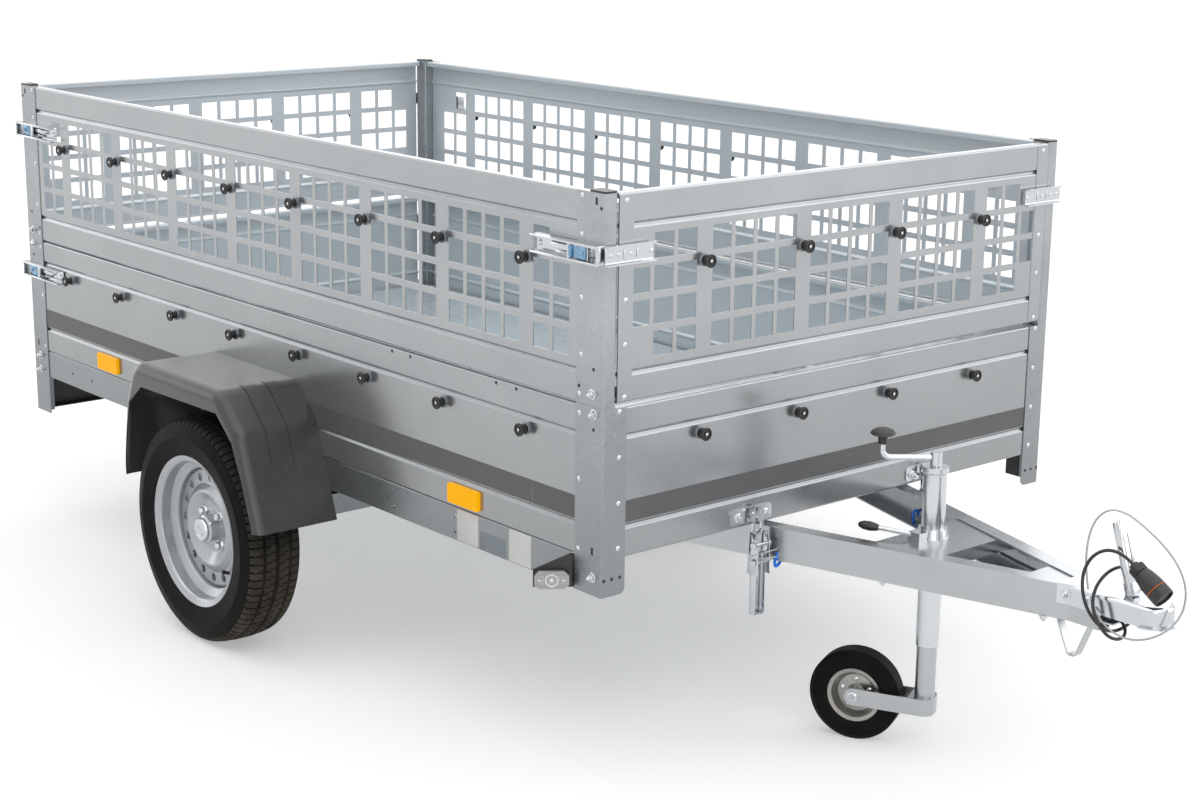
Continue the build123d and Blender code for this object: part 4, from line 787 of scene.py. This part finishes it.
# A knob is a spool: a grey collar against the sheet, a neck, and a wide head with a ring and a zinc screw
KNOB_SPOOL = (
    (0.0115, 0.0), (0.0115, 0.003), (0.0085, 0.004), (0.0078, 0.011), (0.0125, 0.0145),
    (0.0135, 0.0165), (0.0135, 0.0195), (0.0125, 0.0205), (0.0108, 0.0205), (0.0098, 0.0185),
    (0.0060, 0.0185), (0.0052, 0.0205), (0.0042, 0.0205), (0.0038, 0.0188),
)
KNOB_SCREW = ((0.0034, 0.018), (0.0034, 0.0200), (0.0026, 0.0206))
KNOB_COLLAR = ((0.0128, -0.0003), (0.0128, 0.0024), (0.0120, 0.0030))
KNOB_LOW, KNOB_HIGH = 0.692, 1.040
SIDE_PITCH, END_PITCH = 0.278, 0.273
SIDE_KNOBS = both_sides([
    (((place - 3.5) * SIDE_PITCH, -WALL_OUT, z), (0, -1, 0))
    for place in range(8) for z in (KNOB_LOW, KNOB_HIGH)
])


def end_knobs(x, z):
    """A row of four knobs on an end wall, which looks forwards where x is ahead of the middle."""
    return [((x, (place - 1.5) * END_PITCH, z), (1 if x > 0 else -1, 0, 0)) for place in range(4)]


collar_zinc = zinc(
    "collar_zinc", (0.20, 0.22, 0.24), (0.30, 0.32, 0.34), crystals=160.0, rough=(0.3, 0.4), metallic=0.8,
    bloom=0.2, smudged=0.3,
)
for node, body_name, places in (
    ("tie_knobs", "bed", SIDE_KNOBS + end_knobs(FRONT_SHEET, KNOB_LOW)),
    ("front_gate_knobs", "front_gate", end_knobs(FRONT_OUT, KNOB_HIGH)),
    ("rear_gate_knobs", "rear_gate", end_knobs(-FRONT_OUT, KNOB_HIGH)),
    ("tailgate_knobs", "tailgate", end_knobs(-FRONT_OUT, KNOB_LOW)),
):
    spools = strewn(node + "_spools", turned("spool", KNOB_SPOOL, 20), places)
    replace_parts(fitted(spools, body_name, black_nylon), node)
    studded(node + "_screws", turned("screw", KNOB_SCREW, 10), places, body_name)
    collars = strewn(node + "_collars", turned("collar", KNOB_COLLAR, 16), places)
    fitted(collars, body_name, collar_zinc)

# The mudguards' two ribs end in half rounds on the front slope
SLOPE_WAY = (0.943, 0, 0.333)
RIB_ENDS = (((0.2368, -0.726, 0.4722), 0.0158), ((0.2368, -0.7825, 0.4722), 0.0173))
rib_ends = []
for (x, y, z), radius in RIB_ENDS:
    for side in (-1, 1):
        end = turned("end", ((radius, -0.0006), (radius, 0.0017), (radius - 0.0008, 0.0025)), 32)
        rib_ends.append(placed(end, aimed(from_body((x, -side * y, z)), SLOPE_WAY)))
fitted(joined("rib_ends", rib_ends), "bed", guard_plastic)

# Road wheels --------------------------------------------------------------------------------------
# Radial tyres on silver-lacquered pressed steel rims with four bolts and a chromed hub cap. The tread has
# three grooves, slanted sipes in its ribs and cuts in its shoulders.
rubber = moulded(
    "tyre_rubber", (0.007, 0.007, 0.007), (0.012, 0.0115, 0.011), 500, (0.42, 0.6), 0.0002, 0.03,
    specular=0.05,
)
dusty_rubber = moulded(
    "dusty_rubber", (0.022, 0.021, 0.019), (0.046, 0.042, 0.037), 300, (0.5, 0.7), 0.0003,
    0.75, (0.17, 0.145, 0.115), specular=0.05,
)
silver_lacquer = zinc(
    "silver_lacquer", (0.44, 0.455, 0.475), (0.50, 0.515, 0.535), crystals=500.0, rough=(0.24, 0.30),
    metallic=0.5, bloom=0.05, smudged=0.15,
)
dress(silver_lacquer, "rim_right", "rim_left")

HUB_X, WHEEL_Y, TYRE_R = -0.025, 0.794, 0.268
TREAD_STEPS = 336
TREAD_R = 0.2535  # the tread is what lies further out
HALF_RINGS = (
    # radius, distance from the middle plane: from the outer bead to the middle groove
    (0.1665, -0.052), (0.176, -0.062), (0.183, -0.0655), (0.186, -0.0655), (0.205, -0.0715),
    (0.224, -0.0735), (0.226, -0.0725), (0.240, -0.0705), (0.253, -0.0655), (0.2595, -0.0605),
    (0.2625, -0.0545), (0.2645, -0.0435), (0.2655, -0.0385), (0.2585, -0.0375), (0.2585, -0.0305),
    (0.2660, -0.0295), (0.2672, -0.0175), (0.2672, -0.0055), (0.2602, -0.0045), (0.2602, 0.0045),
)
RINGS = HALF_RINGS + tuple((radius, -across) for radius, across in reversed(HALF_RINGS))
tread = turned("tyre", RINGS, TREAD_STEPS, capped=False)


def cut_tread(inner, outer, phase, every, deep, slant=0):
    """Sinks every so many steps of the ribs between two distances from the middle plane."""
    def wanted(face):
        middle = face.calc_center_median()
        if not inner < abs(middle.z) < outer or middle.to_2d().length < TREAD_R - 0.001:
            return False
        step = round((atan2(middle.y, middle.x) / (2 * pi)) * TREAD_STEPS - 0.5)
        return (step + phase + round(slant * middle.z * 100)) % every == 0

    pick(tread, wanted)
    bpy.ops.mesh.extrude_region_shrink_fatten(TRANSFORM_OT_shrink_fatten={"value": deep})


taken(tread)
editing(True)
bpy.ops.mesh.select_mode(type="FACE")
cut_tread(0.0385, 0.0635, 0, 4, -0.0045)
cut_tread(0.006, 0.029, 2, 4, -0.0030, 0.8)
editing(False)
wheel_turn = Matrix.Translation(from_body((HUB_X, -WHEEL_Y, TYRE_R))) @ Matrix.Rotation(radians(90), 4, "X")
for side, mirror in zip(("right", "left"), BOTH):
    tyre = repeated(f"tyre_tread_{side}", tread, [mirror @ wheel_turn], kept=True)
    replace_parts(fitted(tyre, f"wheel_{side}", rubber, 30), f"tyre_{side}")
    tyre.data.materials.append(dusty_rubber)
    for face in tyre.data.polygons:
        over = face.center - Vector(from_body((HUB_X, face.center.y, TYRE_R)))
        face.material_index = 1 if over.length > TREAD_R else 0
bpy.data.objects.remove(tread)

# Wheel bolts on a 98 mm circle, the hub's chromed cap with its slot, and the rubber valve
DISC_OUT, HUB_OUT = WHEEL_Y + 0.010, WHEEL_Y + 0.036
BOLT_CIRCLE_R, VALVE_R = 0.049, 0.141
parts = []
for turn in range(4):
    angle = radians(45 + 90 * turn)
    head = joined("head", [
        turned("cone", ((0.0125, 0.0), (0.0125, 0.002), (0.0105, 0.0045)), 18),
        turned("hexagon", ((0.0092, 0.003), (0.0092, 0.0125), (0.0078, 0.0142)), 6),
    ])
    spot = (HUB_X + BOLT_CIRCLE_R * cos(angle), -DISC_OUT, TYRE_R + BOLT_CIRCLE_R * sin(angle))
    parts.append(placed(head, aimed(from_body(spot), (0, -1, 0), angle)))
hub_cap = turned("hub_cap", (
    (0.0320, -0.008), (0.0320, -0.002), (0.0285, 0.0005), (0.0285, 0.0060), (0.0260, 0.0095),
    (0.0190, 0.0105), (0.0180, 0.0095), (0.0060, 0.0095),
), 32)
parts.append(placed(hub_cap, aimed(from_body((HUB_X, -HUB_OUT, TYRE_R)), (0, -1, 0))))
cap_ridge = block("ridge", (-0.014, -0.0125, -0.003), (0.014, -0.009, 0.003), 0.0012)
ridge_turn = Matrix.Translation(from_body((HUB_X, -HUB_OUT, TYRE_R))) @ Matrix.Rotation(radians(40), 4, "Y")
hub_parts = joined("hub_parts", [*parts, placed(cap_ridge, ridge_turn)])
valve = turned("valve", (
    (0.0075, -0.004), (0.0075, 0.004), (0.0045, 0.010), (0.0042, 0.028), (0.0048, 0.030), (0.0048, 0.038),
), 12)
VALVE_TURN = radians(-38)
valve_foot = (HUB_X + VALVE_R * cos(VALVE_TURN), -WHEEL_Y - 0.014, TYRE_R + VALVE_R * sin(VALVE_TURN))
placed(valve, aimed(from_body(valve_foot), (-0.5 * cos(VALVE_TURN), -1, -0.5 * sin(VALVE_TURN))))
for side, mirror in zip(("right", "left"), BOTH):
    bolts = repeated(f"hub_parts_{side}", hub_parts, [mirror], kept=True)
    fitted(bolts, f"wheel_{side}", bright_zinc)
    stem = repeated(f"valve_{side}", valve, [mirror], kept=True)
    fitted(stem, f"wheel_{side}", black_nylon)
for part in (hub_parts, valve):
    bpy.data.objects.remove(part)

# Lamps and reflectors -----------------------------------------------------------------------------
# Amber reflectors on the side rails, clear position lamps on brackets beside the front posts, and
# three-part lamps on the rear bar. The lenses are moulded from coloured plastic.


def lens(name, deep, pale, cell, coat, specular, painted_glow=0.0):
    """Lens with small prisms pressed in its inside, and a painted glow in its own colour for the light they
    send back.
    """
    material, tree, skin = new_material(name)
    prisms = add(tree, "TexVoronoi", Scale=cell, Randomness=0.0)
    place = add(tree, "TexCoord")
    link(place.outputs["Object"], prisms.inputs["Vector"])
    colour = between(tree, prisms.outputs["Distance"], pale, deep)
    link(colour, skin["Base Color"], skin["Emission Color"])
    # painted glow: the lens gives off light in its own colour
    skin["Emission Strength"].default_value = painted_glow
    link(scaled(tree, prisms.outputs["Distance"], 0.08, 0.16), skin["Roughness"])
    link(raised(tree, prisms.outputs["Distance"], 0.4, 0.0005), skin["Normal"])
    skin["Coat Weight"].default_value = coat
    skin["Specular IOR Level"].default_value = specular
    return material


black_paint_and_bar_shade = moulded(
    "black_paint_and_bar_shade", (0.016, 0.016, 0.017), (0.03, 0.03, 0.031), 260, (0.35, 0.5), 0.0002, 0.3
)
# The lamp brackets are painted black; the rear bar, galvanised sheet in shade, gets the same black as painted
# shade
dress(black_paint_and_bar_shade, "lamp_brackets", "rear_bar")
# The amber reflectors carry a little painted glow
amber = lens("amber_reflector", (0.95, 0.36, 0.0), (1.0, 0.52, 0.0), 420.0, 0.0, 0.06, 0.36)
red = lens("red_lens", (0.45, 0.008, 0.006), (0.65, 0.02, 0.015), 420.0, 0.2, 0.3)
clear = lens("clear_lens", (0.30, 0.30, 0.29), (0.66, 0.66, 0.65), 260.0, 0.4, 0.5)
dress(amber, "reflectors")

# Front lamp, modelled round +Z as it faces forwards and outwards; x runs back along the bracket
LAMP_SEAT = Matrix.Translation(from_body((1.0969, -0.6955, 0.418)))
LAMP_TURN = Matrix(((-0.611, 0, 0.791, 0), (-0.791, 0, -0.611, 0), (0, -1, 0, 0), (0, 0, 0, 1)))
TWO_LAMPS = (LAMP_SEAT @ LAMP_TURN, MIRROR_Y @ LAMP_SEAT @ LAMP_TURN)


def octagon(name, half_x, half_y, low, high, corner):
    """Flat block with its four upright edges cut at 45 degrees."""
    piece = taken(block(name, (-half_x, -half_y, low), (half_x, half_y, high)))
    editing(True)
    pick_edges(piece, lambda edge: abs(edge.verts[0].co.z - edge.verts[1].co.z) > 0.9 * (high - low))
    bpy.ops.mesh.bevel(offset=corner, segments=1, affect="EDGES")
    bpy.ops.mesh.select_mode(type="FACE")
    pick(piece, lambda face: face.normal.z > 0.9)
    bpy.ops.mesh.inset(thickness=0.0045, depth=0)
    bpy.ops.mesh.extrude_region_shrink_fatten(TRANSFORM_OT_shrink_fatten={"value": -0.0012})
    bpy.ops.mesh.inset(thickness=0.0012, depth=0)
    bpy.ops.mesh.extrude_region_shrink_fatten(TRANSFORM_OT_shrink_fatten={"value": 0.001})
    editing(False)
    return piece


glass = repeated("front_lenses", octagon("lens", 0.0345, 0.0178, 0.005, 0.016, 0.009), TWO_LAMPS)
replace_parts(fitted(glass, "bed", clear), "front_lamps")
housing = octagon("housing", 0.035, 0.018, 0.0, 0.0058, 0.0085)
fitted(repeated("lamp_housings", housing, TWO_LAMPS), "bed", black_nylon)
bowl = joined("bowl", [
    turned("dish", ((0.0135, 0.0145), (0.0135, 0.0162), (0.0120, 0.0162), (0.0075, 0.0148)), 24),
    turned("bulb", ((0.0040, 0.0145), (0.0040, 0.0160), (0.0025, 0.0166)), 12),
    block("bar", (-0.028, -0.0011, 0.0152), (-0.020, 0.0011, 0.0163), 0.0004),
    block("bar", (0.020, -0.0011, 0.0152), (0.028, 0.0011, 0.0163), 0.0004),
])
fitted(repeated("lamp_bowls", bowl, TWO_LAMPS), "bed", bright_zinc)
window = block("window", (0.0340, -0.010, 0.0065), (0.0352, 0.010, 0.0135), 0.0004)
fitted(repeated("lamp_side_windows", window, TWO_LAMPS), "bed", black_nylon)

# Rear lamps: a black housing with an amber end, a red middle and a clear inner end
REAR_LAMP = ((-0.624, -0.459), (0.306, 0.390))  # y and z of the right one
REAR_FACE, REAR_LAMP_BACK = -1.247, -1.208


def rear_block(name, y_low, y_high, x_low, x_high, margin, rounding):
    low = from_body((x_low, y_low, REAR_LAMP[1][0] + margin))
    return block(name, low, from_body((x_high, y_high, REAR_LAMP[1][1] - margin)), rounding)


shell = rear_block("shell", *REAR_LAMP[0], REAR_FACE + 0.018, REAR_LAMP_BACK, 0.0, 0.006)
shells = repeated("rear_lamp_shells", shell, BOTH)
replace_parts(fitted(shells, "bed", black_nylon), "rear_lamps")
for name, part, finish, slot in (
    ("rear_amber", (0.003, 0.052), amber, "reflector"),
    ("rear_red", (0.0525, 0.1195), red, "reflector"),
    ("rear_clear", (0.120, 0.162), clear, "clear_lens"),
):
    y_low, y_high = (REAR_LAMP[0][0] + reach for reach in part)
    cover = rear_block(name, y_low, y_high, REAR_FACE + 0.0005, REAR_FACE + 0.020, 0.003, 0.004)
    fitted(repeated(name + "_lenses", cover, BOTH), "bed", finish)

# Tip latches and drawbar bolts --------------------------------------------------------------------
# A lever on each drawbar leg pulls the body down by a ring over a hook on the sill, and a spring pin with
# a blue clip locks it. The coupling is bolted through the legs' webs.
LATCH_Y = -0.258
CHEEK_X, CHEEK_Z = (1.217, 1.249), (0.372, 0.462)
LEVER_X, LEVER_Z = (1.2225, 1.2385), (0.284, 0.415)


def lever_block(name, x, y, z, rounding=0.001):
    """Block of the right lever: y from the lever's middle."""
    low = from_body((x[0], LATCH_Y + y[0], z[0]))
    return block(name, low, from_body((x[1], LATCH_Y + y[1], z[1])), rounding)


lever = []
for y in (-0.0172, 0.0172):
    cheek = taken(lever_block("cheek", CHEEK_X, (y - 0.0013, y + 0.0013), CHEEK_Z, 0.0012))
    editing(True)
    pick(cheek, lambda face: face.calc_center_median().z > 0.44)
    bpy.ops.transform.resize(value=(0.62, 1, 1), center_override=from_body((1.2335, LATCH_Y, 0.45)))
    editing(False)
    lever.append(cheek)
lever.append(lever_block("web", (LEVER_X[0], LEVER_X[0] + 0.0025), (-0.0145, 0.0145), LEVER_Z))
for y in (-0.0138, 0.0138):
    lever.append(lever_block("flange", LEVER_X, (y - 0.0012, y + 0.0012), LEVER_Z))
lever.append(lever_block("toe", LEVER_X, (-0.0145, 0.0145), (LEVER_Z[0], LEVER_Z[0] + 0.0025)))
for z, size in ((0.352, 0.0035), (0.300, 0.004)):
    stud = turned("stud", ((size, -0.0003), (size, 0.0008), (0.6 * size, 0.0016)), 12)
    lever.append(placed(stud, aimed(from_body((1.225, LATCH_Y, z)), (1, 0, 0))))
for z, reach, radius in ((0.399, 0.0215, 0.0048), (0.436, 0.0210, 0.0042)):
    rod = turned("rod", ((radius, -reach), (radius, reach)), 14)
    lever.append(placed(rod, aimed(from_body((1.2375, LATCH_Y, z)), (0, 1, 0))))
    for end in (-1, 1):
        nut = turned("nut", ((0.0085, 0.0), (0.0085, 0.0042), (0.0072, 0.0052)), 6)
        lever.append(placed(nut, aimed(from_body((1.2375, LATCH_Y + end * 0.0184, z)), (0, end, 0), 0.3)))
levers = repeated("tip_latch_levers", joined("lever", lever), BOTH)
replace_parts(fitted(levers, "chassis", bright_zinc), "tip_latches")


def wire(name, route, radius, closed=False):
    """Bent wire as a mesh."""
    piece = taken(cord(name, [(x, LATCH_Y + y, z) for x, y, z in route], radius, 2, 5, closed))
    bpy.ops.object.convert(target="MESH")
    return piece


pin = wire("pin", (
    (1.2435, -0.046, 0.419), (1.2435, -0.020, 0.419), (1.2435, 0.020, 0.419), (1.2435, 0.050, 0.419),
    (1.2445, 0.060, 0.412), (1.2450, 0.052, 0.401), (1.2460, 0.030, 0.405), (1.2465, 0.0, 0.408),
    (1.2465, -0.022, 0.412),
), 0.0017)
fitted(repeated("spring_pins", pin, BOTH), "chassis", bright_zinc)
blue_plastic = moulded("blue_plastic", (0.005, 0.17, 0.85), (0.01, 0.26, 0.95), 700, (0.3, 0.4), 0.0001)
clip = wire("clip", (
    (1.2445, 0.046, 0.424), (1.2445, 0.058, 0.422), (1.2445, 0.060, 0.406), (1.2445, 0.050, 0.388),
    (1.2445, 0.036, 0.380), (1.2445, 0.034, 0.396), (1.2445, 0.042, 0.410),
), 0.0032, closed=True)
fitted(repeated("blue_clips", clip, BOTH), "chassis", blue_plastic)

# Nuts that hold the hooks' brackets to the sill
SILL_NUTS = both_sides([((1.213, -0.300, 0.494), (1, 0, 0)), ((1.213, -0.226, 0.492), (1, 0, 0))])
studded("sill_nuts", hex_bolt("nut"), SILL_NUTS, "bed")

# Bolts through the coupling and the legs, and under the legs' flanges
COUPLING_SIDE = 0.0431
COUPLING_BOLTS = both_sides([
    ((1.845, -COUPLING_SIDE, 0.447), (0, -1, 0)),
    ((1.897, -COUPLING_SIDE, 0.450), (0, -1, 0)),
])
studded("coupling_bolts", hex_bolt("bolt"), COUPLING_BOLTS, "chassis")
LEG_UNDERSIDE = 0.395
UNDER_BOLTS = both_sides([
    ((x, -y, LEG_UNDERSIDE), (0, 0, -1)) for x, y in ((1.463, 0.135), (1.548, 0.110), (1.800, 0.048))
])
studded("leg_bolts", hex_bolt("bolt"), UNDER_BOLTS, "chassis")

# Coupling handle and plug -------------------------------------------------------------------------
# The coupling's handle is a pressed channel of zinc-plated steel with an oblong recess. The plug is black
# plastic with a ribbed grip, a screwed cap and an orange sealing ring, and the rope is of zinc-coated wire.
HANDLE_FOOT, HANDLE_TOP = Vector((1.966, 0, 0.4685)), Vector((1.9215, 0, 0.6065))
handle_way = (HANDLE_TOP - HANDLE_FOOT).normalized()
HANDLE_L = (HANDLE_TOP - HANDLE_FOOT).length
handle_turn = Matrix.Rotation(atan2(handle_way.x, handle_way.z), 4, "Y")
handle = joined("coupling_handle", [
    block("web", (0.0060, -0.0150, 0.022), (0.0085, 0.0150, HANDLE_L), 0.0012),
    block("flange", (-0.0050, -0.0150, 0.004), (0.0085, -0.0125, HANDLE_L - 0.004), 0.0011),
    block("flange", (-0.0050, 0.0125, 0.004), (0.0085, 0.0150, HANDLE_L - 0.004), 0.0011),
    block("ridge", (0.0080, -0.0085, 0.045), (0.0100, -0.0060, 0.118), 0.0009),
    block("ridge", (0.0080, 0.0060, 0.045), (0.0100, 0.0085, 0.118), 0.0009),
    block("ridge", (0.0080, -0.0080, 0.116), (0.0100, 0.0080, 0.119), 0.0009),
    block("ridge", (0.0080, -0.0080, 0.044), (0.0100, 0.0080, 0.047), 0.0009),
    block("foot", (-0.0110, -0.0110, -0.0010), (0.0110, 0.0110, 0.026), 0.003),
])
placed(handle, Matrix.Translation(from_body(HANDLE_FOOT)) @ handle_turn)
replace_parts(fitted(handle, "chassis", bright_zinc), "coupling_lever")

plug_rear, plug_front = Vector(from_body(PLUG_REAR)), Vector(from_body(PLUG_FRONT))
plug_way = plug_front - plug_rear
PLUG_L = plug_way.length
plug_barrel = turned("plug_barrel", (
    (0.0075, 0.0), (0.0090, 0.0010), (0.0090, 0.0060), (0.0150, 0.0070), (0.0155, 0.0080),
    (0.0155, 0.0220), (0.0145, 0.0230), (0.0165, 0.0250), (0.0165, 0.0270), (0.0178, 0.0300),
    (0.0205, 0.0480), (0.0212, 0.0560), (0.0212, 0.0640), (0.0204, 0.0650), (0.0204, 0.0670),
    (0.0214, 0.0680), (0.0214, PLUG_L - 0.002), (0.0205, PLUG_L), (0.0185, PLUG_L), (0.0180, PLUG_L - 0.004),
), 32)
GRIP_RIDGES = 16
ridges = []
for turn in range(GRIP_RIDGES):
    ridge = block("ridge", (0.0150, -0.0009, 0.0085), (0.0162, 0.0009, 0.0215), 0.0004)
    ridges.append(placed(ridge, Matrix.Rotation(2 * pi * turn / GRIP_RIDGES, 4, "Z")))
plug_turn = aimed(plug_rear, plug_way)
plug_shell = placed(joined("plug_shell", [plug_barrel, *ridges]), plug_turn)
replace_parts(fitted(plug_shell, "chassis", black_nylon), "plug")
orange = moulded("orange_seal", (0.60, 0.10, 0.01), (0.72, 0.16, 0.02), 700, (0.4, 0.5), 0.0001)
seal = turned("plug_seal", ((0.0212, 0.0652), (0.0216, 0.0656), (0.0216, 0.0666), (0.0212, 0.0670)), 32)
fitted(placed(seal, plug_turn), "chassis", orange)
rope_steel = zinc(
    "rope_steel", (0.24, 0.25, 0.255), (0.42, 0.43, 0.435), crystals=900.0, rough=(0.25, 0.35), metallic=0.9,
    bloom=0.8,
)
power_flex.data.materials.append(black_nylon)
breakaway_rope.data.materials.append(rope_steel)

# Jockey wheel -------------------------------------------------------------------------------------
# Solid rubber tyre on a pressed rim, held together by five rivets, in a fork at the foot of a steel leg. The
# leg runs in a bright tube, with a crank on top. The rim has gone dull with use.
worn_zinc = zinc(
    "worn_zinc", (0.26, 0.25, 0.235), (0.44, 0.43, 0.41), crystals=120.0, rough=(0.16, 0.24), metallic=0.92,
    bloom=0.2, smudged=0.5,
)
dress(bright_zinc, "jockey_tube", "jockey_crank", "jockey_clamp", "jockey_nut")
dress(leg_zinc, "jockey_leg")
dress(worn_zinc, "jockey_rim")
dress(rubber, "jockey_tyre")
dress(black_nylon, "jockey_grips")
JOCKEY_HUB = Vector((1.3406, -0.0635, 0.098))
SPIN_WAY = Vector((0.4352, -0.9003, 0))  # out of the wheel's right side
LEVEL_WAY = Vector((0.9003, 0.4352, 0))
RIVETS, RIVET_CIRCLE_R, RIM_OUT = 5, 0.031, 0.0045
rivet_places = []
for side in (-1, 1):
    for turn in range(RIVETS):
        angle = radians(360 / RIVETS * turn + 20)
        over = RIVET_CIRCLE_R * (cos(angle) * LEVEL_WAY + Vector((0, 0, sin(angle))))
        rivet_places.append((JOCKEY_HUB + over + side * RIM_OUT * SPIN_WAY, side * SPIN_WAY))
rim_rivet = turned("rivet", ((0.0052, -0.0006), (0.0052, 0.0014), (0.0036, 0.0030), (0.0012, 0.0034)), 12)
studded("jockey_rim_rivets", rim_rivet, rivet_places, "jockey_wheel")

# Bushing in the fork's right end, with the open end of the hollow spindle as a dark disc: painted shade
fork_end = aimed(from_body(JOCKEY_HUB + 0.033 * SPIN_WAY), SPIN_WAY)
bushing = turned("jockey_bushing", (
    (0.0115, -0.0008), (0.0115, 0.0030), (0.0100, 0.0042), (0.0070, 0.0042), (0.0062, 0.0010),
), 24)
fitted(placed(bushing, fork_end), "jockey_leg", bright_zinc)
bore = turned("jockey_bore", ((0.0064, 0.0006), (0.0064, 0.0012), (0.0050, 0.0013)), 20)
fitted(placed(bore, fork_end), "jockey_leg", hole_shade)

# Floor screws -------------------------------------------------------------------------------------
# The floor is held to the cross members by zinc-plated screws with low domed heads, driven in from above
# in four rows along it.
FLOOR_TOP = 0.498
FLOOR_SCREWS = [
    ((x, y, FLOOR_TOP), (0, 0, 1))
    for x in (-0.95, -0.45, 0.0, 0.45, 0.95) for y in (-0.56, -0.19, 0.19, 0.56)
]
screw = turned("screw", ((0.0065, -0.0005), (0.0065, 0.0008), (0.0040, 0.0024), (0.0015, 0.0028)), 12)
studded("floor_screws", screw, FLOOR_SCREWS, "bed")

# Studio floor, background and lamps ---------------------------------------------------------------
# A matte white floor that keeps the trailer's soft shadow, a white surround that metal and clear plastic
# reflect, and broad lamps far away: one above, the others low round the trailer for its upright faces.


def seen_or_mirrored(tree):
    """Mask of the rays from the camera and from what reflects or lets light through."""
    rays = add(tree, "LightPath").outputs
    direct = combined(tree, "MAXIMUM", rays["Is Camera Ray"], rays["Is Glossy Ray"])
    return combined(tree, "MAXIMUM", direct, rays["Is Transmission Ray"])


def shown_as(tree, unseen, seen, output):
    """Shows the second shader to the rays that are seen or mirrored, and the first to the others."""
    choice = add(tree, "MixShader")
    link(seen_or_mirrored(tree), choice.inputs[0])
    link(unseen.outputs[0], choice.inputs[1])
    link(seen.outputs[0], choice.inputs[2])
    link(choice.outputs[0], tree.nodes[output].inputs["Surface"])


FLOOR_SIZE = 80
floor_paint, tree, skin = new_material("studio_floor")
skin["Base Color"].default_value = (0.9, 0.9, 0.9, 1)
skin["Roughness"].default_value = 0.95
skin["Specular IOR Level"].default_value = 0.0
lit = add(tree, "AddShader")
link(tree.nodes["Principled BSDF"].outputs[0], lit.inputs[0])
link(add(tree, "Emission", Strength=0.36).outputs[0], lit.inputs[1])
shown_as(tree, tree.nodes["Principled BSDF"], lit, "Material Output")
deselect()
bpy.ops.mesh.primitive_plane_add(size=FLOOR_SIZE)
studio_floor = named("studio_floor")
studio_floor.data.materials.append(floor_paint)

studio = bpy.data.worlds.new("studio")
bpy.context.scene.world = studio
studio.use_nodes = True
tree = studio.node_tree
soft = tree.nodes["Background"]
soft.inputs["Strength"].default_value = 0.4
shown_as(tree, soft, add(tree, "Background", Color=(1, 1, 1, 1), Strength=1.0), "World Output")

LAMPS = (
    # name, direction the light comes from, strength, apparent size in degrees
    ("key", (0.85, -0.30, 0.70), 0.45, 50),
    ("side", (-0.45, -0.9, 0.7), 0.22, 60),
    ("side_rear", (-0.95, -0.30, 0.22), 0.28, 30),
    ("top", (0.0, 0.0, 1.0), 1.8, 100),
    ("fill", (-0.2, 0.9, 0.8), 0.2, 60),
    ("edge", (0.74, -0.65, 0.12), 0.32, 24),
    ("front", (0.58, 0.80, 0.22), 0.85, 50),
    ("back", (-0.72, 0.65, 0.28), 0.3, 40),
)
for name, way, strength, spread in LAMPS:
    lamp = bpy.data.lights.new(name, "SUN")
    lamp.energy = strength
    lamp.angle = radians(spread)
    stand = bpy.data.objects.new(name, lamp)
    bpy.context.collection.objects.link(stand)
    stand.rotation_euler = Vector(way).to_track_quat("Z", "Y").to_euler()

bpy.context.scene.view_settings.view_transform = "Standard"
